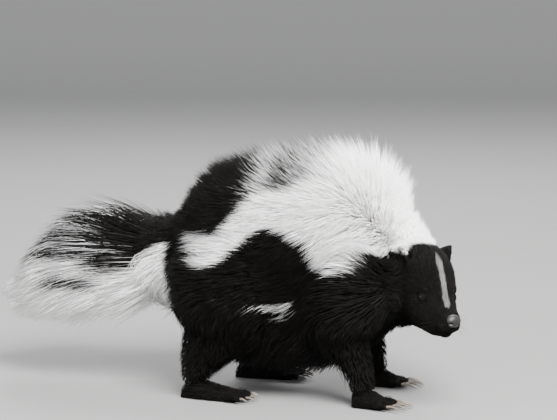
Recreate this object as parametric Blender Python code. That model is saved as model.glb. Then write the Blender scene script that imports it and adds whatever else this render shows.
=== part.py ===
"""A striped skunk walking with its head down and turned to its right, its coat raised. Life-size, in metres.

+X points the way the body faces, +Y to its left and +Z up. The origin is on the floor, under the middle of the
model's box. Each solid reaches out to the tips of the hair. Most are lofts: rings of points on sections whose
top, bottom and half-width are given, closed by a dome or a flat cap. A solid that would run into its neighbour
is cut by that neighbour grown by the gap that they keep.
"""

import math
from collections import namedtuple

import bmesh
import bpy
import numpy as np
from mathutils import Matrix, Vector

# Driving dimensions, in metres.
GAP = 0.0004  # between solids that meet
MID_TRUNK = 0.0466  # x of the middle of the trunk, from the origin
HEAD_YAW = math.radians(-47)  # to its right
HEAD_PITCH = math.radians(18)  # nose down
HEAD_ROLL = math.radians(-5.5)  # left cheek down
NOSE_TIP = Vector((0.1809, -0.0700, 0.0873))  # from the middle of the trunk
TAIL_ROOT_X = -0.095
TAIL_SWING = math.tan(math.radians(5))  # to its left, for each metre back
TOES = 5
TOE_SPREAD = math.radians(9)  # between the middle toe and the outermost
TOE_STAGGER = 0.0045  # how much further back the outer toes start
TOE_DROP = 0.0012
TOE_END = 0.7  # how far a toe's end bulges, in its half-widths
LIMB_END = 0.55
PAW_DOMES = (0.006, 0.005)  # how far its ends bulge, heel first
PAW_LOW = -0.0035  # z of its underside before the floor cuts it flat
CLAW_LIFT = 0.0006  # least room under a claw
CLAW_POINT = 0.0003
TRUNK_DOMES = (0.009, 0.006)  # how far its ends bulge, rump first
NECK_DOMES = (0.004, 0.004)
TAIL_DOMES = (0.004, 0.008)
EYE_RADIUS = 0.0046
EYE = Vector((-0.0385, 0.0160, 0.0078))  # the left one, from the nose tip, in the head's own axes
EAR = Vector((-0.0765, 0.0268, 0.0292))
EAR_RADII = (0.0102, 0.0135, 0.0070)  # the last along the way that it opens
EAR_OPENING = Vector((0.52, 0.82, 0.20))
HOLLOW_RADII = (0.0076, 0.0107, 0.0063)
HOLLOW_OUT = 0.0064  # its middle, from the ear's
NOSE_PAD = Vector((-0.0056, 0.0, 0.0004))
NOSE_RADII = (0.0062, 0.0072, 0.0062)
NOSTRIL = Vector((-0.0010, 0.0040, -0.0008))
NOSTRIL_RADII = (0.0024, 0.0016, 0.0014)
MUZZLE_BACK = -0.0330  # x behind the nose tip
JAW_BACK = -0.0500
MOUTH = -0.0105  # z below it
HEAD_DOMES = (0.003, 0.008)  # how far its ends bulge, nose first
HEAD_FULLNESS = 2.35
HEAD_ROOM = 0.06  # no part of the head is further from the nose tip to the side, above or below
BELOW_FLOOR = ((-0.4, -0.3, -0.05), (0.4, 0.3, 0.0))  # corners of a box wider than the model

Section = namedtuple("Section", "centre up down side")  # its three half-axes, as vectors from the centre
Limb = namedtuple("Limb", "joint wide deep")  # a joint's place, and the half-widths of the limb there

BLACK_COAT = ("black_coat", (0.012, 0.011, 0.011), 0.55)
WHITE_COAT = ("white_coat", (0.80, 0.79, 0.76), 0.60)
BARE_NOSE = ("bare_nose", (0.045, 0.038, 0.038), 0.38)
HORN = ("claw_horn", (0.16, 0.13, 0.11), 0.40)
EYE_GLOSS = ("eye_gloss", (0.006, 0.005, 0.005), 0.06)


def clear_scene():
    for leftover in list(bpy.data.objects):
        bpy.data.objects.remove(leftover, do_unlink=True)


def new_collection(name):
    made = bpy.data.collections.new(name)
    bpy.context.scene.collection.children.link(made)
    return made


def material(finish):
    name, colour, roughness = finish
    made = bpy.data.materials.get(name)
    if made is None:
        made = bpy.data.materials.new(name)
        made.use_nodes = True
        shader = made.node_tree.nodes["Principled BSDF"]
        shader.inputs["Base Color"].default_value = (*colour, 1)
        shader.inputs["Roughness"].default_value = roughness
    return made


def to_frame(point):
    """A point measured from the middle of the trunk, in the part's own frame."""
    return Vector((point.x + MID_TRUNK, point.y, point.z))


# ---------------------------------------------------------------- sections and lofts


def upright_section(top, bottom, wide, heading=0.0):
    """A section given by its highest and lowest points, half-width and the way it faces."""
    centre = (Vector(top) + Vector(bottom)) / 2
    side = Vector((-math.sin(heading), math.cos(heading), 0)) * wide
    return Section(centre, Vector(top) - centre, Vector(bottom) - centre, side)


def limb_sections(joints):
    """Sections across a limb that runs through the joints."""
    sections = []
    for i, limb in enumerate(joints):
        before = joints[max(i - 1, 0)].joint
        after = joints[min(i + 1, len(joints) - 1)].joint
        along = (Vector(after) - Vector(before)).normalized()
        side = Vector((0, 1, 0)).cross(along).cross(along).normalized()
        front = side.cross(along).normalized() * limb.deep
        sections.append(Section(Vector(limb.joint), front, -front, side * limb.wide))
    return sections


def rows_of(sections, steps):
    """The sections as rows of twelve numbers, with steps - 1 more between each two on a Catmull-Rom curve."""
    rows = np.array([[*s.centre, *s.up, *s.down, *s.side] for s in sections])
    padded = np.vstack([2 * rows[0] - rows[1], rows, 2 * rows[-1] - rows[-2]])
    made = []
    for a, b, c, d in zip(padded, padded[1:], padded[2:], padded[3:]):
        for t in np.arange(steps) / steps:
            made.append(b + (c - a) * t / 2 + (2 * a - 5 * b + 4 * c - d) * t**2 / 2 + (3 * b - a - 3 * c + d) * t**3 / 2)
    return np.array([*made, rows[-1]])


def dome(rows, reach, rings):
    """More rows past the last one, each smaller, and the pole that closes them."""
    centre, before = rows[-1][:3], rows[-2][:3]
    along = (centre - before) / np.linalg.norm(centre - before)
    made = []
    for k in range(1, rings + 1):
        turn = math.pi / 2 * k / (rings + 1)
        row = rows[-1].copy()
        row[:3] += along * reach * math.sin(turn)
        row[3:] *= math.cos(turn)
        made.append(row)
    return made, centre + along * reach


def ring_points(row, sides, fullness):
    """Points round a section. A fullness over 2 squares its shoulders."""
    centre, up, down, side = (row[k : k + 3] for k in (0, 3, 6, 9))
    points = []
    for k in range(sides):
        turn = 2 * math.pi * k / sides
        rise = abs(math.cos(turn)) ** (2 / fullness)
        out = math.copysign(abs(math.sin(turn)) ** (2 / fullness), math.sin(turn))
        points.append(centre + (up if math.cos(turn) > 0 else down) * rise + side * out)
    return points


def loft_mesh(name, rows, domes, sides, fullness, rings=2):
    """A closed mesh through the rows. domes gives how far each end bulges, 0 for a flat cap."""
    poles = [None, None]
    if domes[0]:
        made, poles[0] = dome(rows[::-1], domes[0], rings)
        rows = np.vstack([made[::-1], rows])
    if domes[1]:
        made, poles[1] = dome(rows, domes[1], rings)
        rows = np.vstack([rows, made])
    shape = bmesh.new()
    loops = [[shape.verts.new(point) for point in ring_points(row, sides, fullness)] for row in rows]
    for a, b in zip(loops, loops[1:]):
        for k in range(sides):
            shape.faces.new((a[k], a[k - 1], b[k - 1]))
            shape.faces.new((a[k], b[k - 1], b[k]))
    for pole, loop in zip(poles, (loops[0], loops[-1])):
        if pole is None:
            shape.faces.new(loop)
            continue
        tip = shape.verts.new(pole)
        for k in range(sides):
            shape.faces.new((loop[k], loop[k - 1], tip))
    bmesh.ops.recalc_face_normals(shape, faces=shape.faces)
    mesh = bpy.data.meshes.new(name)
    shape.to_mesh(mesh)
    shape.free()
    return mesh


def swollen(mesh):
    """The mesh with every point moved out by the gap. It cuts a neighbour to fit."""
    shape = bmesh.new()
    shape.from_mesh(mesh)
    shape.normal_update()
    moves = [vertex.normal * GAP * vertex.calc_shell_factor() for vertex in shape.verts]
    for vertex, move in zip(shape.verts, moves):
        vertex.co += move
    shape.to_mesh(mesh)
    shape.free()
    return mesh


class Builder:
    """Puts solids in one collection and cutters in another."""

    def __init__(self):
        self.parts = new_collection("striped_skunk")
        self.cutters = new_collection("cutters")

    def solid(self, name, mesh, finish, smooth_angle=50):
        made = bpy.data.objects.new(name, mesh)
        mesh.materials.append(material(finish))
        mesh.shade_smooth()
        mesh.set_sharp_from_angle(angle=math.radians(smooth_angle))
        self.parts.objects.link(made)
        return made

    def cutter(self, name, mesh):
        made = bpy.data.objects.new(name + "_cutter", mesh)
        made.hide_render = True
        made.display_type = "WIRE"
        self.cutters.objects.link(made)
        return made

    def cut(self, target, *cutters):
        for cutter in cutters:
            self.boolean(target, cutter, "DIFFERENCE")

    def boolean(self, target, other, operation):
        modifier = target.modifiers.new(operation.lower() + "_" + other.name, "BOOLEAN")
        modifier.operation = operation
        modifier.object = other
        modifier.solver = "EXACT"


# ---------------------------------------------------------------- trunk, neck and tail


def trunk_rows():
    """From the rump to the front of the chest: the raised crest above and the belly hair below."""
    outline = [  # top x and z, bottom x and z, half-width
        (-0.0970, 0.184, -0.0970, 0.072, 0.048),
        (-0.0890, 0.203, -0.0910, 0.056, 0.063),
        (-0.0750, 0.219, -0.0770, 0.043, 0.075),
        (-0.0590, 0.230, -0.0600, 0.034, 0.082),
        (-0.0360, 0.235, -0.0370, 0.027, 0.087),
        (-0.0080, 0.238, -0.0090, 0.022, 0.088),
        (0.0200, 0.243, 0.0190, 0.023, 0.086),
        (0.0460, 0.249, 0.0430, 0.025, 0.083),
        (0.0690, 0.250, 0.0640, 0.030, 0.078),
        (0.0890, 0.244, 0.0760, 0.041, 0.070),
        (0.1060, 0.232, 0.0860, 0.048, 0.060),
        (0.1190, 0.217, 0.0930, 0.062, 0.046),
        (0.1265, 0.203, 0.0990, 0.090, 0.030),
    ]
    sections = [
        upright_section(to_frame(Vector((tx, 0, tz))), to_frame(Vector((bx, 0, bz))), wide)
        for tx, tz, bx, bz, wide in outline
    ]
    return rows_of(sections, 2)


def lengths(rows, cuts, gap=GAP):
    """The rows divided at those row numbers, each cut end drawn back by half the gap."""
    ends = [0, *cuts, len(rows) - 1]
    pieces = []
    for first, last in zip(ends, ends[1:]):
        piece = rows[first : last + 1].copy()
        if first:
            step = np.linalg.norm(piece[1][:3] - piece[0][:3])
            piece[0] += (piece[1] - piece[0]) * gap / 2 / step
        if last < len(rows) - 1:
            step = np.linalg.norm(piece[-2][:3] - piece[-1][:3])
            piece[-1] += (piece[-2] - piece[-1]) * gap / 2 / step
        pieces.append(piece)
    return pieces


def build_trunk(make):
    """Rump, loin and chest. Returns the chest, and the cutter that fits limbs, neck and tail to all three."""
    rows = trunk_rows()
    sides, fullness = 20, 2.15
    domes = TRUNK_DOMES
    rump, loin, chest = lengths(rows, (8, 15))
    make.solid("rump", loft_mesh("rump", rump, (domes[0], 0), sides, fullness), BLACK_COAT)
    make.solid("loin", loft_mesh("loin", loin, (0, 0), sides, fullness), BLACK_COAT)
    front = make.solid("chest", loft_mesh("chest", chest, (0, domes[1]), sides, fullness), WHITE_COAT)
    return front, make.cutter("trunk", swollen(loft_mesh("trunk_cutter", rows, domes, sides, fullness)))


def build_neck(make, *neighbours):
    """The nape's raised hair and the throat, between the chest and the back of the head."""
    outline = [  # top, bottom, half-width, degrees that it faces to the right
        ((0.088, 0.000, 0.192), (0.082, 0.000, 0.074), 0.052, 0),
        ((0.108, -0.002, 0.187), (0.102, -0.004, 0.068), 0.050, 10),
        ((0.121, -0.005, 0.180), (0.117, -0.012, 0.068), 0.045, 22),
        ((0.129, -0.010, 0.167), (0.128, -0.022, 0.073), 0.038, 34),
        ((0.133, -0.016, 0.150), (0.136, -0.030, 0.084), 0.029, 44),
    ]
    sections = [
        upright_section(to_frame(Vector(top)), to_frame(Vector(bottom)), wide, math.radians(-right))
        for top, bottom, wide, right in outline
    ]
    neck = make.solid("neck", loft_mesh("neck", rows_of(sections, 1), NECK_DOMES, 14, 2.0), WHITE_COAT)
    make.cut(neck, *neighbours)


def tail_rows():
    """The plume: it swings to the left, rises a little past the root, and then droops."""
    outline = [  # x, top z, bottom z, half-width
        (-0.084, 0.164, 0.118, 0.026),
        (-0.103, 0.168, 0.083, 0.042),
        (-0.132, 0.170, 0.067, 0.055),
        (-0.160, 0.177, 0.061, 0.063),
        (-0.188, 0.183, 0.057, 0.066),
        (-0.212, 0.175, 0.053, 0.064),
        (-0.236, 0.161, 0.051, 0.056),
        (-0.2565, 0.137, 0.053, 0.044),
        (-0.2698, 0.113, 0.063, 0.027),
    ]
    sections = []
    for x, top, bottom, wide in outline:
        y = max(0.0, TAIL_ROOT_X - x) * TAIL_SWING
        heading = -math.atan(TAIL_SWING) * min(1.0, max(0.0, TAIL_ROOT_X - x) / 0.03)
        sections.append(
            upright_section(to_frame(Vector((x, y, top))), to_frame(Vector((x, y, bottom))), wide, heading)
        )
    return rows_of(sections, 2)


def build_tail(make, trunk):
    base, middle, end = lengths(tail_rows(), (6, 11))
    sides, fullness = 16, 2.1
    root = loft_mesh("tail_base", base, (TAIL_DOMES[0], 0), sides, fullness)
    make.cut(make.solid("tail_base", root, BLACK_COAT), trunk)
    make.solid("tail_middle", loft_mesh("tail_middle", middle, (0, 0), sides, fullness), WHITE_COAT)
    make.solid("tail_end", loft_mesh("tail_end", end, (0, TAIL_DOMES[1]), sides, fullness), WHITE_COAT)


# ---------------------------------------------------------------- head

HEAD = (
    Matrix.Translation(to_frame(NOSE_TIP))
    @ Matrix.Rotation(HEAD_YAW, 4, "Z")
    @ Matrix.Rotation(HEAD_PITCH, 4, "Y")
    @ Matrix.Rotation(HEAD_ROLL, 4, "X")
)


def in_head(mesh):
    """Moves a mesh made round the nose tip, nose along +X, to where the head is."""
    mesh.transform(HEAD)
    return mesh


def head_rows():
    """Along the head, back from behind the nose pad: x, top z, bottom z and half-width from the nose tip."""
    outline = [
        (-0.0045, 0.0058, -0.0096, 0.0078),
        (-0.0095, 0.0078, -0.0152, 0.0106),
        (-0.0160, 0.0092, -0.0205, 0.0128),
        (-0.0235, 0.0126, -0.0238, 0.0149),
        (-0.0320, 0.0198, -0.0255, 0.0180),
        (-0.0400, 0.0272, -0.0266, 0.0221),
        (-0.0500, 0.0352, -0.0288, 0.0268),
        (-0.0610, 0.0416, -0.0314, 0.0304),
        (-0.0720, 0.0446, -0.0326, 0.0318),
        (-0.0820, 0.0440, -0.0316, 0.0312),
        (-0.0900, 0.0392, -0.0282, 0.0284),
    ]
    sections = [upright_section((x, 0, top), (x, 0, bottom), wide) for x, top, bottom, wide in outline]
    return rows_of(sections, 1)


def box_mesh(name, low, high):
    shape = bmesh.new()
    bmesh.ops.create_cube(shape, size=1)
    size = Vector(high) - Vector(low)
    bmesh.ops.scale(shape, verts=shape.verts, vec=size)
    bmesh.ops.translate(shape, verts=shape.verts, vec=(Vector(low) + Vector(high)) / 2)
    mesh = bpy.data.meshes.new(name)
    shape.to_mesh(mesh)
    shape.free()
    return mesh


def on_side(point, sign):
    """The left-hand point as it is for a sign of 1, and mirrored to the right for -1."""
    return Vector((point.x, point.y * sign, point.z))


def ball_mesh(name, centre, radii, segments=12, rings=8):
    shape = bmesh.new()
    bmesh.ops.create_uvsphere(shape, u_segments=segments, v_segments=rings, radius=1)
    bmesh.ops.scale(shape, verts=shape.verts, vec=radii)
    bmesh.ops.translate(shape, verts=shape.verts, vec=centre)
    mesh = bpy.data.meshes.new(name)
    shape.to_mesh(mesh)
    shape.free()
    return mesh


def build_eyes(make):
    cutters = []
    for side, sign in (("left", 1), ("right", -1)):
        ball = on_side(EYE, sign), (EYE_RADIUS,) * 3, 10, 7
        make.solid("eye_" + side, in_head(ball_mesh("eye_" + side, *ball)), EYE_GLOSS)
        cutters.append(make.cutter("eye_" + side, swollen(in_head(ball_mesh("eye_cutter", *ball)))))
    return cutters


def ear_meshes(sign):
    """A low round cup that opens forward and outward: the cup's outside, and the hollow that is cut from it."""
    turn = on_side(EAR_OPENING, sign).to_track_quat("Z", "Y").to_matrix().to_4x4()
    place = HEAD @ Matrix.Translation(on_side(EAR, sign)) @ turn
    outside = ball_mesh("ear", (0, 0, 0), EAR_RADII, 10, 7)
    hollow = ball_mesh("ear_hollow", (0, 0, HOLLOW_OUT), HOLLOW_RADII, 8, 5)
    outside.transform(place)
    hollow.transform(place)
    return outside, hollow


def build_ears(make, head):
    cutters = {}
    for side, sign in (("left", 1), ("right", -1)):
        outside, hollow = ear_meshes(sign)
        ear = make.solid("ear_" + side, outside, BLACK_COAT)
        make.cut(ear, head, make.cutter("ear_hollow_" + side, hollow))
        cutters[side] = make.cutter("ear_" + side, swollen(ear_meshes(sign)[0]))
    return cutters


def build_nose(make):
    """The bare pad at the tip, with a nostril each side."""
    pad = NOSE_PAD, NOSE_RADII, 12, 7
    nose = make.solid("nose_pad", in_head(ball_mesh("nose_pad", *pad)), BARE_NOSE)
    for side, sign in (("left", 1), ("right", -1)):
        nostril = in_head(ball_mesh("nostril", on_side(NOSTRIL, sign), NOSTRIL_RADII, 6, 4))
        make.cut(nose, make.cutter("nostril_" + side, nostril))
    return make.cutter("nose_pad", swollen(in_head(ball_mesh("nose_cutter", *pad))))


def build_head(make):
    """Cranium with cheeks, muzzle and lower jaw: one form, parted by thin cuts behind the muzzle and at the mouth."""

    def form(name):
        return in_head(loft_mesh(name, head_rows(), HEAD_DOMES, 18, HEAD_FULLNESS))

    def ahead_of(back, top, gap):
        """A box round all of the form that lies ahead of the one and below the other."""
        return in_head(box_mesh("region", (back - gap, -HEAD_ROOM, -HEAD_ROOM), (HEAD_ROOM, HEAD_ROOM, top + gap)))

    muzzle_region = make.cutter("muzzle_region", ahead_of(MUZZLE_BACK, HEAD_ROOM, -GAP / 2))
    muzzle_clearance = make.cutter("muzzle_clearance", ahead_of(MUZZLE_BACK, HEAD_ROOM, GAP / 2))
    jaw_region = make.cutter("jaw_region", ahead_of(JAW_BACK, MOUTH, -GAP / 2))
    jaw_clearance = make.cutter("jaw_clearance", ahead_of(JAW_BACK, MOUTH, GAP / 2))
    head = make.solid("head", form("head"), BLACK_COAT)
    muzzle = make.solid("muzzle", form("muzzle"), BLACK_COAT)
    jaw = make.solid("lower_jaw", form("lower_jaw"), BLACK_COAT)
    make.cut(head, muzzle_clearance, jaw_clearance, *build_eyes(make))
    make.boolean(muzzle, muzzle_region, "INTERSECT")
    make.boolean(jaw, jaw_region, "INTERSECT")
    nose = build_nose(make)
    make.cut(muzzle, jaw_clearance, nose)
    make.cut(jaw, nose)
    return make.cutter("head", swollen(form("head_cutter")))


# ---------------------------------------------------------------- legs


def segment(joints, sides):
    """A length of leg with round ends."""
    rows = rows_of(limb_sections([Limb(to_frame(Vector(j.joint)), j.wide, j.deep) for j in joints]), 2)
    return loft_mesh("segment", rows, (joints[0].deep * LIMB_END, joints[-1].deep * LIMB_END), sides, 2.0)


def toe_places(ball, spread, heading):
    """Where each toe starts and the way it points. The middle ones reach furthest."""
    places = []
    for k in range(TOES):
        across = k / (TOES - 1) * 2 - 1
        turn = heading + TOE_SPREAD * across
        forward = Vector((math.cos(heading), math.sin(heading), 0))
        left = Vector((-math.sin(heading), math.cos(heading), 0))
        start = Vector(ball) + left * across * spread - forward * TOE_STAGGER * across**2
        places.append((start, Vector((math.cos(turn), math.sin(turn), 0))))
    return places


def toe_mesh(places, length, thick):
    """Every toe of a paw as one mesh of round-ended lengths that dip to the floor."""
    shape = bmesh.new()
    for start, way in places:
        tip = start + way * length + Vector((0, 0, -TOE_DROP))
        joints = [Limb(start, thick, thick), Limb(tip, thick * 0.86, thick * 0.8)]
        mesh = loft_mesh("toe", rows_of(limb_sections(joints), 1), (0, thick * TOE_END), 6, 2.0, rings=1)
        shape.from_mesh(mesh)
        bpy.data.meshes.remove(mesh)
    made = bpy.data.meshes.new("toes")
    shape.to_mesh(made)
    shape.free()
    return made


def claw_mesh(start, way, length, thick):
    """A claw that curves down from the end of a toe."""
    bend = [(0.0, 0.0), (0.5, 0.06), (1.0, -0.16)]  # along and up, in claw lengths
    taper = (1.0, 0.84, 0.26)
    joints = []
    for (along, up), share in zip(bend, taper):
        at = start + way * length * along + Vector((0, 0, length * up))
        at.z = max(at.z, thick * share + CLAW_LIFT)
        joints.append(Limb(at, thick * share * 0.8, thick * share))
    return loft_mesh("claw", rows_of(limb_sections(joints), 1), (0, CLAW_POINT), 4, 2.0, rings=1)


Leg = namedtuple("Leg", "upper lower paw heading ball toe claw")

LEGS = {
    "fore_right": Leg(
        upper=[Limb((0.086, -0.042, 0.116), 0.036, 0.038), Limb((0.071, -0.055, 0.078), 0.028, 0.031)],
        lower=[
            Limb((0.073, -0.052, 0.068), 0.022, 0.025),
            Limb((0.084, -0.050, 0.044), 0.0155, 0.0165),
            Limb((0.090, -0.048, 0.023), 0.0120, 0.0125),
        ],
        paw=[(0.084, 0.018, 0.0100), (0.095, 0.019, 0.0112), (0.107, 0.013, 0.0115)],
        heading=math.radians(-6),
        ball=(0.110, -0.0500, 0.0053),
        toe=(0.0105, 0.0023),
        claw=(0.0155, 0.00130),
    ),
    "fore_left": Leg(
        upper=[Limb((0.078, 0.040, 0.116), 0.036, 0.038), Limb((0.060, 0.053, 0.078), 0.028, 0.031)],
        lower=[
            Limb((0.062, 0.050, 0.068), 0.022, 0.025),
            Limb((0.073, 0.048, 0.044), 0.0155, 0.0165),
            Limb((0.079, 0.046, 0.023), 0.0120, 0.0125),
        ],
        paw=[(0.073, 0.018, 0.0100), (0.084, 0.019, 0.0112), (0.096, 0.013, 0.0115)],
        heading=math.radians(4),
        ball=(0.099, 0.0475, 0.0053),
        toe=(0.0105, 0.0023),
        claw=(0.0155, 0.00130),
    ),
    "hind_right": Leg(
        upper=[Limb((-0.058, -0.047, 0.124), 0.042, 0.044), Limb((-0.046, -0.058, 0.080), 0.034, 0.040)],
        lower=[
            Limb((-0.050, -0.056, 0.069), 0.026, 0.032),
            Limb((-0.065, -0.054, 0.045), 0.0200, 0.0245),
            Limb((-0.075, -0.051, 0.026), 0.0140, 0.0170),
        ],
        paw=[(-0.085, 0.022, 0.0102), (-0.069, 0.020, 0.0118), (-0.047, 0.015, 0.0120), (-0.032, 0.012, 0.0120)],
        heading=math.radians(-5),
        ball=(-0.0295, -0.0560, 0.0052),
        toe=(0.0105, 0.0024),
        claw=(0.0085, 0.00125),
    ),
    "hind_left": Leg(
        upper=[Limb((-0.048, 0.047, 0.124), 0.042, 0.044), Limb((-0.026, 0.058, 0.080), 0.034, 0.040)],
        lower=[
            Limb((-0.026, 0.055, 0.069), 0.026, 0.032),
            Limb((-0.042, 0.053, 0.045), 0.0200, 0.0245),
            Limb((-0.052, 0.050, 0.026), 0.0140, 0.0170),
        ],
        paw=[(-0.062, 0.022, 0.0102), (-0.046, 0.020, 0.0118), (-0.024, 0.015, 0.0120), (-0.009, 0.012, 0.0120)],
        heading=math.radians(5),
        ball=(-0.0065, 0.0550, 0.0052),
        toe=(0.0105, 0.0024),
        claw=(0.0085, 0.00125),
    ),
}


def paw_mesh(leg):
    """From the heel to the ball of the foot: x, top z and half-width at each section, flat on the floor."""
    wrist_y = leg.lower[-1].joint[1]
    first_x = leg.paw[0][0]
    sections = []
    for x, top, wide in leg.paw:
        y = wrist_y + (x - first_x) * math.tan(leg.heading)
        top, low = to_frame(Vector((x, y, top))), to_frame(Vector((x, y, PAW_LOW)))
        sections.append(upright_section(top, low, wide, leg.heading))
    return loft_mesh("paw", rows_of(sections, 1), PAW_DOMES, 12, 2.2, rings=1)


def build_leg(make, place, leg, trunk, floor):
    """Upper and lower length, paw and claws. Returns the upper length, and a cutter that clears it."""
    upper_sides, lower_sides = 12, 10
    upper = make.solid("upper_" + place, segment(leg.upper, upper_sides), BLACK_COAT)
    upper_cutter = make.cutter("upper_" + place, swollen(segment(leg.upper, upper_sides)))
    make.cut(upper, trunk)
    lower = make.solid("lower_" + place, segment(leg.lower, lower_sides), BLACK_COAT)
    make.cut(lower, upper_cutter, trunk)
    paw = make.solid("paw_" + place, paw_mesh(leg), BLACK_COAT)
    toes = toe_places(to_frame(Vector(leg.ball)), leg.paw[-1][2], leg.heading)
    make.boolean(paw, make.cutter("toes_" + place, toe_mesh(toes, *leg.toe)), "UNION")
    make.cut(paw, floor, make.cutter("lower_" + place, swollen(segment(leg.lower, lower_sides))))
    toe_length, toe_thick = leg.toe
    for k, (start, way) in enumerate(toes):
        name = f"claw_{place}_{k + 1}"
        root = start + way * (toe_length + toe_thick * TOE_END + GAP)
        make.solid(name, claw_mesh(root, way, *leg.claw), HORN)
    return upper, upper_cutter


def main():
    clear_scene()
    make = Builder()
    chest, trunk = build_trunk(make)
    head = build_head(make)
    ears = build_ears(make, head)
    make.cut(chest, head, *ears.values())
    build_tail(make, trunk)
    floor = make.cutter("floor", box_mesh("floor", *BELOW_FLOOR))
    legs = {place: build_leg(make, place, leg, trunk, floor) for place, leg in LEGS.items()}
    right_arm, right_clearance = legs["fore_right"]
    left_clearance = legs["fore_left"][1]
    make.cut(right_arm, head, ears["right"])
    build_neck(make, trunk, head, *ears.values(), right_clearance, left_clearance)


main()
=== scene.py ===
"""A striped skunk, still, as a museum shows one: life-size, walking with its head low, its coat raised.

Everything is in metres in the frame's own axes: +X the way the body faces, +Y to its left, +Z up.
The skin lies inside the frame's solids by the depth of the coat, and the coat fills the space between.
"""

import math
from collections import namedtuple

import bmesh
import bpy
import numpy as np
from mathutils import Matrix, Vector
from mathutils.bvhtree import BVHTree
from mathutils.kdtree import KDTree


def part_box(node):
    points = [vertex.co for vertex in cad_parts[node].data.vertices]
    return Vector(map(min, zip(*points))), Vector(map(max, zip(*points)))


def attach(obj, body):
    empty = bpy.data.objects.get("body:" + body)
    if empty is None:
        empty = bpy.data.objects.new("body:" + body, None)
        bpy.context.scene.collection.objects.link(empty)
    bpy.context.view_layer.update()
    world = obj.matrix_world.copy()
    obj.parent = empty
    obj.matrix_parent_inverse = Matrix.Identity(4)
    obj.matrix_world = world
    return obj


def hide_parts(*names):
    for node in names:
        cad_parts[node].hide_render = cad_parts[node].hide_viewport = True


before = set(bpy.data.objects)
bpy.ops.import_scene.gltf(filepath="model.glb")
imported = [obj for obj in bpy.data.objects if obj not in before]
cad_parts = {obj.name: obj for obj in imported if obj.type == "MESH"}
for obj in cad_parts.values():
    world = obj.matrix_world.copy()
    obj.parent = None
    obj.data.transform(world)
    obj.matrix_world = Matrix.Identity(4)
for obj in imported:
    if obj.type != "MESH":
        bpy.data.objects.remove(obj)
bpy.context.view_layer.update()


# ---------------------------------------------------------------------------- the studio
# A pale paper sweep under and behind the animal, lit by three large soft boxes.
# The camera stands to the animal's right, a little ahead of it and just above its back.

CAMERA_TURN = math.radians(16)
CAMERA_RISE = math.radians(8)
CAMERA_DISTANCE = 2.2
CAMERA_AIM = Vector((0.0406, 0.0, 0.175))
VIEW_WIDTH = 0.529  # how wide the view is at the aim
SENSOR = 36  # millimetres, as the lens is

camera_data = bpy.data.cameras.new("camera")
camera = bpy.data.objects.new("camera", camera_data)
bpy.context.scene.collection.objects.link(camera)
look = Vector((-math.sin(CAMERA_TURN), math.cos(CAMERA_TURN), 0)) * math.cos(CAMERA_RISE)
look.z = -math.sin(CAMERA_RISE)
camera_data.sensor_width = SENSOR
camera_data.lens = SENSOR * CAMERA_DISTANCE / VIEW_WIDTH
camera.location = CAMERA_AIM - look * CAMERA_DISTANCE
camera.rotation_euler = look.to_track_quat("-Z", "Y").to_euler()
bpy.context.scene.camera = camera


def soft_box(name, place, size, watts):
    """A square lamp that faces the animal."""
    data = bpy.data.lights.new(name, "AREA")
    data.size = size
    data.energy = watts
    lamp = bpy.data.objects.new(name, data)
    lamp.location = place
    lamp.rotation_euler = (CAMERA_AIM - Vector(place)).to_track_quat("-Z", "Y").to_euler()
    bpy.context.scene.collection.objects.link(lamp)


soft_box("key", (0.9, -1.3, 1.7), 1.1, 240)
soft_box("fill", (-1.5, -1.6, 0.9), 1.4, 36)
soft_box("back", (-0.4, 1.5, 1.6), 1.2, 64)

world = bpy.data.worlds.new("studio")
world.use_nodes = True
world.node_tree.nodes["Background"].inputs["Color"].default_value = (0.95, 0.97, 1.0, 1)
world.node_tree.nodes["Background"].inputs["Strength"].default_value = 1.30
bpy.context.scene.world = world


class Number:
    """A number that varies over a surface. Sums on it add Math nodes."""

    def __init__(self, tree, socket):
        self.tree = tree
        self.socket = socket

    def maths(self, operation, *others):
        node = self.tree.nodes.new("ShaderNodeMath")
        node.operation = operation
        for place, value in zip(node.inputs, (self, *others)):
            if isinstance(value, Number):
                self.tree.links.new(value.socket, place)
            else:
                place.default_value = value
        return Number(self.tree, node.outputs[0])

    def __add__(self, other):
        return self.maths("ADD", other)

    __radd__ = __add__

    def __mul__(self, other):
        return self.maths("MULTIPLY", other)

    __rmul__ = __mul__

    def __sub__(self, other):
        return self.maths("SUBTRACT", other)

    def __rsub__(self, other):
        return (self * -1.0) + other


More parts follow.
